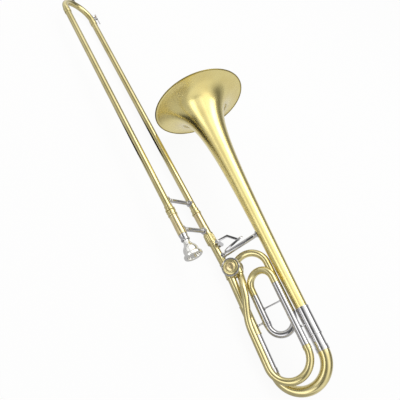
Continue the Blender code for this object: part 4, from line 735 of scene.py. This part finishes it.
def flat_bar(name, outline, thick, centre, right_way, up_way, bevel, sharp=38):
    """A plate with the outline (x, y) in millimetres, extruded to its thickness and bevelled."""
    normal = right_way.cross(up_way).normalized()
    bpy.ops.object.select_all(action="DESELECT")
    bpy.ops.mesh.primitive_circle_add(vertices=len(outline), radius=1.0, fill_type="NGON")
    bar = bpy.context.object
    bar.name = name
    bar.data.name = name
    for vertex, (x, y) in zip(bar.data.vertices, outline):
        vertex.co = centre + MM * (x * right_way + y * up_way) - MM * thick / 2 * normal
    bpy.ops.object.mode_set(mode="EDIT")
    bpy.ops.mesh.select_all(action="SELECT")
    bpy.ops.mesh.extrude_region_move(TRANSFORM_OT_translate={"value": MM * thick * normal})
    bpy.ops.mesh.select_all(action="SELECT")
    bpy.ops.mesh.normals_make_consistent(inside=False)
    bpy.ops.object.mode_set(mode="OBJECT")
    if bevel:
        edge = bar.modifiers.new("edge", "BEVEL")
        edge.width = MM * bevel
        edge.segments = 3
        edge.limit_method = "ANGLE"
        edge.angle_limit = math.radians(40)
        bpy.ops.object.modifier_apply(modifier=edge.name)
    return settle(bar, sharp)


def half_round(x, y, radius, first, last, steps=14):
    """Points of an arc round (x, y), from one angle to another in degrees."""
    made = []
    for i in range(steps + 1):
        a = math.radians(first + (last - first) * i / steps)
        made.append((x + radius * math.cos(a), y + radius * math.sin(a)))
    return made


lever = (half_round(-13.8, 0, 3.2, 90, 270)
         + [(-9.5, -2.2), (-4.5, -3.2), (3.0, -3.2), (8.0, -2.0)]
         + half_round(19.8, 0, 3.2, -80, 80) + [(8.0, 2.0), (3.0, 3.2), (-4.5, 3.2), (-9.5, 2.2)])
key = flat_bar("water_key_lever", lever, 1.6, key_pin + MM * (KEY_TOP + 0.8) * key_out, slide_rear,
               key_across, 0.35)
in_silver(key, "water_key", "water_key")
for sign in (-1, 1):
    ear = flat_bar("water_key_ear_" + ("left" if sign < 0 else "right"),
                   half_round(0, 0, 1.8, 180, 360)
                   + [(2.6, KEY_TOP + 0.4), (-2.6, KEY_TOP + 0.4)], 1.3,
                   key_pin + MM * sign * 2.5 * key_across, slide_rear, key_out, 0.2)
    in_silver(ear, "water_key")
pin = turned("water_key_pin", key_pin - MM * 3.6 * key_across, key_across,
             [(0, 0.9), (0.2, 1.25), (0.7, 1.25), (0.9, 0.8), (6.3, 0.8), (6.5, 1.25),
              (7.0, 1.25), (7.2, 0.9)],
             soft=0.15, sides=24)
in_silver(pin, "water_key")
pad = turned("water_key_cork", pad_centre - MM * PAD_HALF * key_out, key_out,
             [(0, 2.6), (0.0, 3.2), (0.3, 3.5), (1.3, 3.5), (1.6, 3.3)], soft=0.25, sides=32)
fit(pad, "water_key", cork, "cork", "water_key_pad")
seat = turned("water_key_cup", pad_centre + MM * 0.82 * key_out, key_out,
              [(0, 3.6), (1.2, 3.6), (1.9, 3.3), (2.5, 2.0), (2.6, 0.6)], soft=0.3, sides=32)
in_silver(seat, "water_key")
post = flat_bar("water_key_post", half_round(0, 0, 1.55, 0, 180) + [(-1.8, -5.8), (1.8, -5.8)],
                3.0, key_pin, slide_rear, key_out, 0.2)
in_silver(post, "hand_slide")
chimney_foot = slide_at(-743.0) + MM * 7.0 * key_out
chimney_top = (pad_centre - chimney_foot).dot(key_out) / MM - 1.1
chimney_foot = pad_centre - MM * (chimney_top + 1.1) * key_out
chimney = turned("water_key_chimney", chimney_foot, key_out,
                 [(0, 3.9), (chimney_top * 0.5, 3.4), (chimney_top - 1.2, 2.7),
                  (chimney_top - 0.9, 3.2), (chimney_top, 3.2)],
                 [(0, 1.6), (chimney_top, 1.6)], soft=0.3, sides=32)
in_silver(chimney, "hand_slide")
print("lever", round(KEY_TOP, 2), "mm over its pin, chimney", round(chimney_top, 2), "mm high")


# %% [markdown]
# ## Inner slide
# The inner tubes are nickel silver with a hard silvery plating. Long brass barrels hold their rear
# ends, lined with cork against the outer slide's knock. A small ring on the mouthpiece side locks
# the slide.

# %% Inner tubes, barrels and lock ring
RING_FRONT = END_RING_X + 14.0 + 0.45  # behind the end ring, with the play of the closed slide
RING_LENGTH = 12.0
BARREL_REAR = -8.0
for side, (y, z) in SIDES.items():
    start = RING_FRONT if side == "bell_side" else RING_FRONT + RING_LENGTH + 0.3
    inner = pipe("inner_slide_tube_" + side,
                 run(slide_at(-700.0, y, z), slide_at(BARREL_REAR - 2.0, y, z)), INNER_R, 0.4)
    fit(inner, "bell_section", silver_plate, "silver_plate", "inner_tube_" + side)
    length = BARREL_REAR - start
    barrel = turned("slide_barrel_" + side, slide_at(start, y, z), slide_rear,
                    [(0, 8.7), (0.4, 9.3), (2.6, 9.3), (3.0, 8.9), (3.6, 8.9), (4.0, 9.1),
                     (length - 24, 9.1), (length - 23.4, 9.3), (length - 3.4, 9.3),
                     (length - 3.0, 8.9), (length - 2.4, 8.9), (length - 2.0, 9.3),
                     (length - 0.4, 9.3), (length, 8.3)],
                    [(0, 7.35), (length, 7.2)], soft=0.35, sides=56)
    fit(barrel, "bell_section", rose_brass, "rose_brass", "cork_barrel_" + side)

ring_home = Vector(joints["lock_ring_turn"]["pos_m"])
ring_home = slide_at((ring_home - slide_home).dot(slide_rear) / MM, *MOUTH_YZ)
lock_ring = turned("lock_ring_turned", ring_home, slide_rear,
                   [(0, 9.0), (1.5, 10.2), (3.0, 10.2), (3.6, 9.5), (8.4, 9.5), (9.0, 10.2),
                    (10.8, 10.2), (12.0, 9.0)], [(0, 7.75), (12.0, 7.75)], soft=0.4, sides=56)
in_brass(lock_ring, "lock_ring", "slide_lock_ring")

# %% [markdown]
# ## Lock nut
# The bell section is screwed on with a ribbed nut. Its barrel is turned with a bead at each end.
# One rib is drawn as a slim rounded bar, and spin copies it round the nut.

# %% Lock nut
NUT_X = -14.0
RIBS = 18
nut = turned("lock_nut_barrel", slide_at(NUT_X), slide_rear,
             [(0, 9.9), (0.6, 10.9), (2.6, 10.9), (3.4, 10.3), (19.4, 10.3), (20.2, 11.2),
              (22.7, 11.2), (23.5, 10.2)], [(0, 9.75), (23.5, 9.75)], soft=0.5, sides=72)
in_brass(nut, "lock_nut", "bell_lock_nut")
rib_at = slide_at(NUT_X + 3.6) + MM * 9.75 * face
rib = turned("lock_nut_ribs", rib_at, slide_rear,
             [(0, 0.3), (0.4, 1.0), (1.2, 1.35), (14.6, 1.35), (15.4, 1.0), (15.8, 0.3)],
             soft=0.4, sides=16)
bpy.context.view_layer.objects.active = rib
bpy.ops.object.mode_set(mode="EDIT")
bpy.ops.mesh.select_all(action="SELECT")
bpy.ops.mesh.spin(steps=RIBS - 1, angle=2 * math.pi * (RIBS - 1) / RIBS, center=slide_at(0),
                  axis=slide_rear, dupli=True)
bpy.ops.object.mode_set(mode="OBJECT")
in_brass(settle(rib), "lock_nut")

# %% [markdown]
# ## Mouthpiece and receiver
# The mouthpiece is turned from a solid brass bar and silver plated. Its outline swells to a cup,
# dips, and flares to a rounded rim, and the inside runs from the bowl through a narrow throat to
# the backbore.

# %% Mouthpiece
SHANK = [(-82.0, 5.5), (-81.6, 5.6), (-36.5, 6.3), (-36.0, 7.1), (-34.8, 7.1), (-34.3, 6.5)]
CUP = [(-32.0, 7.4), (-29.0, 8.3), (-26.0, 9.9), (-23.0, 12.4), (-20.0, 14.3), (-16.5, 15.4),
       (-13.0, 15.6), (-10.0, 15.5), (-8.2, 16.1), (-6.9, 17.4), (-6.1, 18.8), (-4.8, 19.4),
       (-2.4, 19.45), (-0.9, 18.9), (-0.15, 17.6), (0.0, 16.4)]
BOWL = [(-82.0, 4.9), (-50.0, 3.7), (-28.0, 3.3), (-24.2, 3.6), (-23.0, 5.6), (-20.0, 8.0),
        (-15.0, 10.2), (-9.0, 11.8), (-4.0, 12.6), (-1.2, 13.2), (-0.2, 14.6)]
rim_home = slide_at(44.0, *MOUTH_YZ)
mouthpiece = turned("mouthpiece_turned", rim_home, slide_rear, SHANK + CUP, BOWL, soft=0.6,
                    sides=80)
fit(mouthpiece, "mouthpiece", plated_cup, "silver_plate", "mouthpiece")
receiver = turned("mouthpiece_socket", slide_at(BARREL_REAR + 0.3, *MOUTH_YZ), slide_rear,
                  [(0, 8.8), (0.5, 9.2), (1.6, 9.2), (2.2, 8.7), (9.2, 8.1), (9.8, 8.9),
                   (10.4, 9.3), (13.0, 9.3), (13.7, 8.4)],
                  [(0, 6.4), (13.7, 6.7)], soft=0.35, sides=56)
in_silver(receiver, "bell_section", "mouthpiece_receiver")


# %% [markdown]
# ## Bell
# The bell is hammered and spun from sheet, a little over half a millimetre thick. It narrows fast
# behind the rim and then very slowly, so its outline follows a power of the distance. The rim is
# rolled round a wire, which makes the small bead at its edge.

# %% Bell
BELL_T = 100.9
RIM_S, END_S, RIM_R = -396.3, 127.7, 108.0


def bell_radius(s):
    """The outside radius of the bell at s, in millimetres."""
    return RIM_R * (1 + (s - RIM_S) / 13.3) ** -0.6


stations = [(END_S - RIM_S) * (i / 60) ** 2.3 for i in range(60, 0, -1)]
outside = [(d, bell_radius(RIM_S + d)) for d in stations if d > 2.6]
inside = []
for (d0, r0), (d1, r1) in zip(outside, outside[1:]):
    slope = Vector((d1 - d0, r1 - r0)).normalized()
    inside.append(((d0 + d1) / 2 + 0.8 * slope.y, (r0 + r1) / 2 - 0.8 * abs(slope.x)))
edge = [(2.0, 105.3), (1.4, 104.8)]
inside = [(d, r) for d, r in inside if d > 1.4 and r < 104.2][::-1]
inside.append((END_S - RIM_S, bell_radius(END_S) - 0.8))
rings = [(bell_at(RIM_S + d, BELL_T), bell_rear, MM * r)
         for d, r in outside + edge + inside + outside[:1]]
bell = draw_rings("bell_spun", rings, 128, capped=False)
fit(bell, "bell_section", bell_brass, "lacquered_brass", "bell")
bead = [(1.5 - 1.45 * math.cos(math.radians(a)), 105.9 + 1.45 * math.sin(math.radians(a)))
        for a in range(0, 361, 20)]
rings = [(bell_at(RIM_S + d, BELL_T), bell_rear, MM * r) for d, r in bead]
rim = draw_rings("bell_rim_wire", rings, 128, capped=False)
# The rim bead's darker tone is painted shade along the rim.
fit(rim, "bell_section", painted_shade_rim_brass, "lacquered_brass")
print("bell stem", round(2 * bell_radius(END_S), 1), "mm, rim", 2 * RIM_R, "mm across")

# %% [markdown]
# ## Neckpipe and the brace to the bell
# The neckpipe carries the whole bell section. A stout brace joins it to the bell and is held by
# the left hand, so its saddles are broad.

# %% Neckpipe, socket and bell brace
NECK_R = 8.1
socket = turned("neck_socket", slide_at(-3.0), slide_rear,
                [(0, 9.3), (12.0, 9.3), (12.6, 9.0), (14.6, 9.0), (16.0, 8.4)],
                [(0, 8.3), (16.0, 8.3)], soft=0.4, sides=56)
in_brass(socket, "bell_section", "bell_socket")
neck = pipe("neck_tube", run(slide_at(13.3), slide_at(VALVE[0] + NECK_TO_LOCK - 18.0)), NECK_R,
            0.7, sides=56)
in_brass(neck, "bell_section", "neckpipe")

BRACE_X = 44.5
splay = slide_rear.angle(bell_rear)
bell_y = (BELL_T - (BRACE_X - NECK_TO_LOCK) * math.sin(splay)) / math.cos(splay)
bell_foot = slide_at(BRACE_X, bell_y)
bell_foot_s = (bell_foot - bell_home).dot(bell_rear) / MM
stem_r = bell_radius(bell_foot_s)
start, span = NECK_R + 1.7, bell_y - stem_r - 2.1 - NECK_R - 1.7
brace = turned("bell_brace_bar", slide_at(BRACE_X, start), slide_side,
               both_ends([(0, 4.9), (3.0, 4.9), (3.6, 4.2), (4.6, 4.2), (5.2, 4.8)], span),
               soft=0.5, sides=56)
in_silver(brace, "bell_section", "bell_brace")
foot = saddle("neck_brace_saddle", slide_at(BRACE_X), slide_side, slide_rear, NECK_R)
in_silver(foot, "bell_section", "bell_brace_flange_neck")
foot = saddle("bell_brace_saddle", bell_foot, -slide_side, bell_rear, stem_r + 0.3)
in_silver(foot, "bell_section", "bell_brace_flange_bell")

# %% [markdown]
# ## Main tube and sleeves
# Behind the valve the main tube grows into an outer sleeve, and the bell's stem ends in another.
# Both are straight, so each is turned in one piece with a bead at its mouth.

# %% Main tube and sleeves
main = turned("main_tube_and_sleeve", bell_at(10.8, 0.5), bell_rear,
              [(0, 8.5), (59.2, 8.5), (59.8, 9.9), (61.8, 9.9), (62.4, 9.4), (119.6, 9.4),
               (120.2, 9.8), (123.2, 9.8)],
              [(0, 7.9), (61.0, 7.9), (61.4, 8.8), (123.2, 8.8)], soft=0.35, sides=56)
in_brass(main, "bell_section", "main_tube")
LEG_R = bell_radius(124.0) + 0.1
SLEEVE_R = LEG_R + 0.8
sleeve = turned("bell_leg_sleeve", bell_at(124.0, BELL_T), bell_rear,
                both_ends([(0, SLEEVE_R), (0.4, SLEEVE_R + 0.4), (3.0, SLEEVE_R + 0.4),
                           (3.4, SLEEVE_R)], 56.0),
                [(0, LEG_R + 0.3), (56.0, LEG_R + 0.3)], soft=0.3, sides=64)
in_silver(sleeve, "bell_section", "bell_sleeve")

# %% [markdown]
# ## Main tuning slide
# Two silvery legs run in the sleeves, and a bow joins them. The bow widens on its way, because the
# bore keeps growing towards the bell, so its route has another radius at its end.

# %% Main tuning slide
BOW_S = 210.0
MAIN_T = 0.5
MAIN_R = 8.5
for side, t, radius, mouth in (("neck_side", MAIN_T, MAIN_R, 134.0),
                               ("bell_side", BELL_T, LEG_R, 180.0)):
    leg = pipe("tuning_slide_leg_" + side,
               run(bell_at(mouth - 48.0, t), bell_at(BOW_S - 4.5, t)), radius, 0.6, sides=56)
    in_silver(leg, "tuning_slide", "tuning_leg_" + side)
    ring = turned("tuning_slide_ferrule_" + side, bell_at(BOW_S - 9.3, t), bell_rear,
                  both_ends([(0, radius + 0.7), (0.4, radius + 1.1), (1.4, radius + 1.1),
                             (1.7, radius + 0.8)], 9.0),
                  [(0, radius + 0.3), (9.0, radius + 0.3)], soft=0.2, sides=56)
    in_silver(ring, "tuning_slide", "tuning_ferrule_" + side)
middle = (MAIN_T + BELL_T) / 2
bend_s = BOW_S - 0.3
tuning_bow = pipe("tuning_slide_bow", joined(
    run(bell_at(BOW_S - 4.2, MAIN_T), bell_at(bend_s, MAIN_T)),
    bend(bell_at(bend_s, middle), -bell_side, bell_rear, BELL_T - middle, steps=44),
    run(bell_at(bend_s, BELL_T), bell_at(BOW_S - 4.2, BELL_T))), MAIN_R, 0.6, LEG_R, sides=64)
in_brass(tuning_bow, "tuning_slide", "tuning_bow")

# %% [markdown]
# ## Valve loop: the big arch
# The thumb valve sends the air through an extra loop of tube. It leaves the valve by the big arch,
# runs down one leg of a small tuning slide, back up the other, over the small arch to the long
# silvery leg, and home over the main tube through the rear bow and the crossover. The big arch has
# to meet both the valve's knuckle and its leg smoothly, so its bend is a true tangent to each.

# %% Big arch
LOOP_R = 7.3
LEFT_T, RIGHT_T = 28.0, 79.5  # the two legs of the loop
RISE = 18.0  # from the lower layer of tubes to the upper one
SLEEVE_S = 63.7  # where both arches end, just before the sleeves
ARCH_S, ARCH_R = 16.0, 36.6
ARCH_START = 19.3  # from the rotor's axis to the end of the arch's knuckle
arch_middle = bell_at(ARCH_S, RIGHT_T - ARCH_R)
# A line from the rotor touches the arch's circle at tangent_at. The bend begins a little before,
# so that it meets the end of the knuckle.
reach = Vector((VALVE[0] - ARCH_S, VALVE[1] - (RIGHT_T - ARCH_R)))
touch = math.sqrt(reach.length ** 2 - ARCH_R ** 2)
heading = math.atan2(reach.y, reach.x) % (2 * math.pi)
tangent_at = heading - math.acos(ARCH_R / reach.length)
arch_way = bell_way(math.sin(tangent_at), -math.cos(tangent_at), 0)
begin = tangent_at - 2 * (ARCH_START - touch) / ARCH_R
from_way = bell_way(math.cos(begin), math.sin(begin), 0)
turn_way = bell_way(math.sin(begin), -math.cos(begin), 0)
arch = pipe("valve_big_arch", joined(
    [(bell_at(*VALVE) + MM * ARCH_START * arch_way, arch_way)],
    bend(arch_middle, from_way, turn_way, ARCH_R, math.degrees(begin) - 90, steps=32),
    run(bell_at(ARCH_S, RIGHT_T), bell_at(SLEEVE_S, RIGHT_T))), LOOP_R)
in_brass(arch, "bell_section", "valve_arch")

# %% [markdown]
# ## Small arch
# The small arch joins the second leg of the tuning slide to the long leg, which lies in the upper
# layer. So it rises while it turns: its route is half a circle with a height that eases from one
# layer to the other, and each way is the slope of that curve.

# %% Small arch
SMALL_S = 51.3
small_r = (RIGHT_T - LEFT_T) / 2
lifted = []
for i in range(37):
    a = math.pi * i / 36
    lift = RISE * (1 - math.cos(a)) / 2
    place = bell_at(SMALL_S - small_r * math.sin(a), LEFT_T + small_r * (1 - math.cos(a)), lift)
    way = bell_way(-small_r * math.cos(a), small_r * math.sin(a), RISE * math.sin(a) / 2)
    lifted.append((place, way))
small = pipe("loop_small_arch", joined(
    run(bell_at(SLEEVE_S, LEFT_T), bell_at(SMALL_S, LEFT_T)), lifted,
    run(bell_at(SMALL_S, RIGHT_T, RISE), bell_at(SLEEVE_S, RIGHT_T, RISE))), LOOP_R)
in_brass(small, "bell_section", "small_arch")

# %% [markdown]
# ## Sleeves, long leg and rear bow
# Silvery sleeves take the legs of the tuning slide. The long leg is silvery too, and a turned
# collar joins it to the rear bow, which is brass again and brings the air back to the crossover.

# %% Sleeves, long leg and rear bow
for side, t in (("left", LEFT_T), ("right", RIGHT_T)):
    sleeve = turned("loop_leg_sleeve_" + side, bell_at(64.0, t), bell_rear,
                    [(0, 7.3), (0.3, 7.5), (55.6, 7.5), (56.0, 7.9), (58.8, 7.9), (59.2, 7.6)],
                    [(0, 7.0), (59.2, 7.0)], soft=0.25, sides=48)
    in_silver(sleeve, "bell_section", "loop_sleeve_" + side)

LEG_END = 189.7
long_leg = pipe("loop_long_leg",
                run(bell_at(64.0, RIGHT_T, RISE), bell_at(LEG_END, RIGHT_T, RISE)), LOOP_R)
in_silver(long_leg, "bell_section", "long_leg")
REAR_S, REAR_T = 197.0, -1.7
rear_middle = bell_at(REAR_S, (RIGHT_T + REAR_T) / 2, RISE)
rear = pipe("loop_rear_bow", joined(
    run(bell_at(190.4, RIGHT_T, RISE), bell_at(REAR_S, RIGHT_T, RISE)),
    bend(rear_middle, bell_side, bell_rear, (RIGHT_T - REAR_T) / 2, steps=40),
    run(bell_at(REAR_S, REAR_T, RISE), bell_at(190.0, REAR_T, RISE))), LOOP_R)
in_brass(rear, "bell_section", "rear_bow")
collar = turned("loop_rear_collar", bell_at(190.0, RIGHT_T, RISE), bell_rear,
                both_ends([(0, 7.8), (0.4, 8.2), (1.4, 8.2), (1.8, 7.9)], 7.2),
                [(0, 7.35), (7.2, 7.35)], soft=0.2)
in_brass(collar, "bell_section")

# %% [markdown]
# ## Crossover tube
# This tube leaves the valve in the lower layer and crosses the main tube in the upper one, so it
# bends two ways at once. A maker bends it by hand over a form. Here the route goes through a few
# places, with a smooth cubic curve between each two of them.

# %% Crossover tube
CROSS_T = 20.0
STEPS = 6
via = [bell_at(10.8, CROSS_T)]
# (s, share of the way across, share of the rise)
for s, over, lift in ((30, 0.0, 0.47), (45, 0.10, 0.83), (62, 0.26, 0.98), (82, 0.57, 1.0),
                      (105, 0.90, 1.0), (128, 1.0, 1.0)):
    via.append(bell_at(s, CROSS_T + over * (REAR_T - CROSS_T), lift * RISE))
via.append(bell_at(LEG_END, REAR_T, RISE))
slopes = [bell_rear.copy()]
for before, after in zip(via, via[2:]):
    slopes.append((after - before) / (after - before).dot(bell_rear))
slopes[-1] = bell_rear.copy()
slopes.append(bell_rear.copy())
route = []
for p0, p1, m0, m1 in zip(via, via[1:], slopes, slopes[1:]):
    length = (p1 - p0).dot(bell_rear)
    for i in range(STEPS):
        f = i / STEPS
        a, b, c = 1 - 3 * f * f + 2 * f ** 3, f - 2 * f * f + f ** 3, f ** 3 - f * f
        da, db, dc = 6 * f * f - 6 * f, 1 - 4 * f + 3 * f * f, 3 * f * f - 2 * f
        place = a * p0 + (1 - a) * p1 + length * (b * m0 + c * m1)
        way = da * (p0 - p1) / length + db * m0 + dc * m1
        route.append((place, way.normalized()))
route.append((via[-1], bell_rear.copy()))
crossover = pipe("loop_crossover", route, LOOP_R)
in_brass(crossover, "bell_section", "crossover_tube")

# %% [markdown]
# ## Tuning slide of the loop
# A second, smaller slide tunes the loop. It is one tube with a half turn, and its two legs run
# inside the sleeves, so it is a little thinner than they are. A ring on each leg is its stop.

# %% Tuning slide of the loop
LEG_S, TURN_S = 78.2, 128.6
turn_middle = bell_at(TURN_S, (LEFT_T + RIGHT_T) / 2)
loop_bow = pipe("loop_slide_tube", joined(
    run(bell_at(LEG_S, LEFT_T), bell_at(TURN_S, LEFT_T)),
    bend(turn_middle, -bell_side, bell_rear, small_r, steps=32),
    run(bell_at(TURN_S, RIGHT_T), bell_at(LEG_S, RIGHT_T))), 6.7, 0.6)
in_silver(loop_bow, "loop_slide", "loop_tuning_bow")
for side, t in (("left", LEFT_T), ("right", RIGHT_T)):
    ring = turned("loop_slide_ring_" + side, bell_at(123.5, t), bell_rear,
                  [(0, 7.1), (0.3, 7.6), (1.5, 7.6), (1.9, 7.3), (3.4, 7.3), (3.8, 7.6),
                   (4.8, 7.6), (5.1, 7.0)],
                  [(0, 6.72), (5.1, 6.72)], soft=0.2, sides=40)
    in_silver(ring, "loop_slide")

# %% [markdown]
# ## Stays
# Thin turned bars keep the tubes apart. Each foot flares like a small trumpet, which gives the
# solder more room. All three are the same outline, and only the length of the bar changes.


# %% Stays
def stay(name, start, end, near_r, far_r, bar, *nodes):
    """A thin bar between two tubes, with a trumpet foot on each."""
    way = (end - start).normalized()
    span = (end - start).length / MM - near_r - far_r - 0.6
    piece = turned(name, start + MM * (near_r + 0.3) * way, way,
                   both_ends([(0, 2.9), (0.5, 2.9), (1.0, bar + 0.6), (2.0, bar)], span),
                   soft=0.4, sides=28)
    return in_silver(piece, "bell_section", *nodes)


stay("loop_cross_bar", bell_at(94.5, LEFT_T), bell_at(94.5, RIGHT_T), 7.5, 7.5, 1.6,
     "loop_cross_brace")
stay("neck_side_stay", bell_at(118, MAIN_T), bell_at(118, LEFT_T), 9.4, 7.5, 1.7, "stay_neck_side")
stay("bell_side_stay", bell_at(156, RIGHT_T, RISE), bell_at(156, BELL_T), LOOP_R, SLEEVE_R, 1.7,
     "stay_bell_side")


# %% [markdown]
# ## Rotary valve
# The valve is a barrel with four short knuckles, where the tubes are soldered in. The rotor turns
# inside. The knuckles are one outline on four ways: the neck, the main tube, the loop and the
# arch.

# %% Valve casing
valve = bell_at(*VALVE)
barrel = turned("valve_barrel", valve - MM * 12.6 * face, face,
                [(0, 16.9), (0.4, 17.3), (2.0, 17.3), (2.4, 16.9), (21.8, 16.9), (22.2, 17.25),
                 (25.2, 17.25)],
                [(0, 14.1), (25.2, 14.1)], soft=0.3, sides=80)
in_brass(barrel, "bell_section", "valve_casing")
neck_root = slide_at((valve - slide_home).dot(slide_rear) / MM)
for name, root, way, radius in (("neck", neck_root, -slide_rear, 9.1),
                                ("main", bell_at(VALVE[0], MAIN_T), bell_rear, 10.3),
                                ("loop", bell_at(VALVE[0], CROSS_T), bell_rear, 9.1),
                                ("arch", valve, arch_way, 8.6)):
    knuckle = turned("valve_knuckle_" + name, root, way,
                     [(4.0, radius - 0.4), (15.0, radius - 0.4), (15.5, radius), (18.0, radius),
                      (18.5, radius - 0.6)],
                     [(4.0, 6.8), (18.5, 6.8)], soft=0.35, sides=56)
    in_brass(knuckle, "bell_section")

# %% [markdown]
# ## Valve cap
# The bezel is silvery, and it joins the tubes' fill box so that it shows against the white ground.
# The threaded cap sits inside it, and a domed button of warmer brass closes the middle.

# %% Valve cap
ring = turned("valve_front_bezel", valve + MM * 10.7 * face, face,
              [(0, 18.4), (0.4, 19.2), (1.0, 19.2), (1.9, 18.4)], [(0, 17.6), (1.9, 15.9)],
              soft=0.3, sides=80)
lit_only["tubes"].objects.link(in_silver(ring, "bell_section", "valve_front_ring"))
cap = turned("valve_threaded_cap", valve + MM * 12.9 * face, face,
             [(0, 15.3), (0.8, 15.3), (1.4, 14.8), (1.7, 13.4), (1.7, 10.6), (2.4, 9.9)],
             [(0, 9.4), (2.4, 9.4)], soft=0.4, sides=80)
in_brass(cap, "bell_section", "valve_cap")
button = turned("valve_cap_button", valve + MM * 13.0 * face, face,
                [(0, 9.3), (2.6, 9.3), (3.4, 8.6), (4.1, 6.4), (4.45, 3.4), (4.5, 1.7),
                 (3.7, 1.3), (3.6, 0.3)], soft=0.5, sides=64)
fit(button, "bell_section", rose_brass, "rose_brass")

# %% [markdown]
# ## Thumb lever
# A bent strip of nickel silver turns on a post beside the neckpipe. Its far end carries the paddle
# for the thumb, which stands nearly square to it. The strip is a row of points, set out to both
# sides by half its width and rounded at its ends.


# %% Thumb lever
def strip(points, half):
    """The outline of a strip of even width along points, with round ends."""
    places = [Vector(p) for p in points]
    ways = [(b - a).normalized() for a, b in zip(places, places[1:])]
    headings = [math.degrees(math.atan2(w.y, w.x)) for w in ways]
    right, left = [], []
    for place, w0, w1 in zip(places[1:], ways, ways[1:]):
        miter = Vector((-w0.y - w1.y, w0.x + w1.x)).normalized()
        reach = half / miter.dot(Vector((-w0.y, w0.x)))
        left.append(tuple(place + reach * miter))
        right.append(tuple(place - reach * miter))
    return (half_round(*places[0], half, headings[0] + 90, headings[0] + 270, 10) + right
            + half_round(*places[-1], half, headings[-1] - 90, headings[-1] + 90, 10) + left[::-1])


ARM_FACE = 14.1  # the arm's height over the bell section's axis
pivot = Vector(joints["thumb_lever_turn"]["pos_m"]) - bell_home
pivot = (pivot.dot(bell_rear) / MM, pivot.dot(bell_side) / MM)
arm = flat_bar("thumb_lever_arm", strip((pivot, (-68.7, 31.7), (-50.0, 50.0)), 2.6), 2.2,
               bell_at(0, 0, ARM_FACE), bell_rear, bell_side, 0.5)
in_silver(arm, "thumb_lever", "thumb_lever")
hub = turned("thumb_lever_hub", bell_at(*pivot, 13.0), face,
             [(0, 4.2), (2.6, 4.2), (3.2, 3.6), (3.8, 2.4), (3.8, 1.4), (3.3, 1.2), (3.2, 0.2)],
             soft=0.3, sides=40)
in_silver(hub, "thumb_lever")

# %% [markdown]
# ## Thumb paddle
# The paddle starts as a flat plate. Its outer face is then extruded three times, each time by less
# and drawn in more, which gives the low dome that the thumb rests on.

# %% Thumb paddle
inner_end, outer_end = bell_at(-40.5, 14.0, ARM_FACE), bell_at(-51.5, 60.5, ARM_FACE)
along = (inner_end - outer_end).normalized()
broad = Matrix.Rotation(math.radians(-22.0), 3, along) @ face
middle = (inner_end + outer_end) / 2 + MM * 3.0 * broad
out = along.cross(broad)
paddle = flat_bar("thumb_paddle", half_round(17.5, 0, 6.5, -70, 70, 12) + [(4.0, 7.0), (-4.0, 7.0)]
                  + half_round(-17.5, 0, 6.5, 110, 250, 12) + [(-4.0, -7.0), (4.0, -7.0)],
                  1.6, middle, along, broad, 0.0)
bpy.ops.object.mode_set(mode="EDIT")
bpy.ops.mesh.select_mode(type="FACE")
for step, grow in ((1.3, 0.96), (1.2, 0.90), (0.7, 0.78)):
    bpy.ops.mesh.select_all(action="DESELECT")
    bpy.ops.object.mode_set(mode="OBJECT")
    top = max(paddle.data.polygons, key=lambda f: (f.center - middle).dot(out))
    top.select = True
    spot = top.center + MM * step * out
    bpy.ops.object.mode_set(mode="EDIT")
    bpy.ops.mesh.extrude_region_move(TRANSFORM_OT_translate={"value": MM * step * out})
    bpy.ops.transform.resize(value=(grow, grow, grow), center_override=spot)
bpy.ops.object.mode_set(mode="OBJECT")
in_silver(settle(paddle), "thumb_lever")

# %% [markdown]
# ## The nodes that stay
# The rotor, its stop arm and link, the lever's shaft and barrel, the slide's tenon and the valve's
# back plate are plain turned and filed pieces, and the CAD model already has their true form. They
# only get their metal and a smooth shading.

# %% Dress the CAD nodes
for name, cad in frame["nodes"].items():
    if cad.hide_render:
        continue
    cad.data.materials.clear()
    cad.data.materials.append(rose_brass if name == "rotor" else nickel_silver)
    pick(cad)
    bpy.ops.object.shade_smooth_by_angle(angle=math.radians(30))
    print("kept from the CAD part:", name)
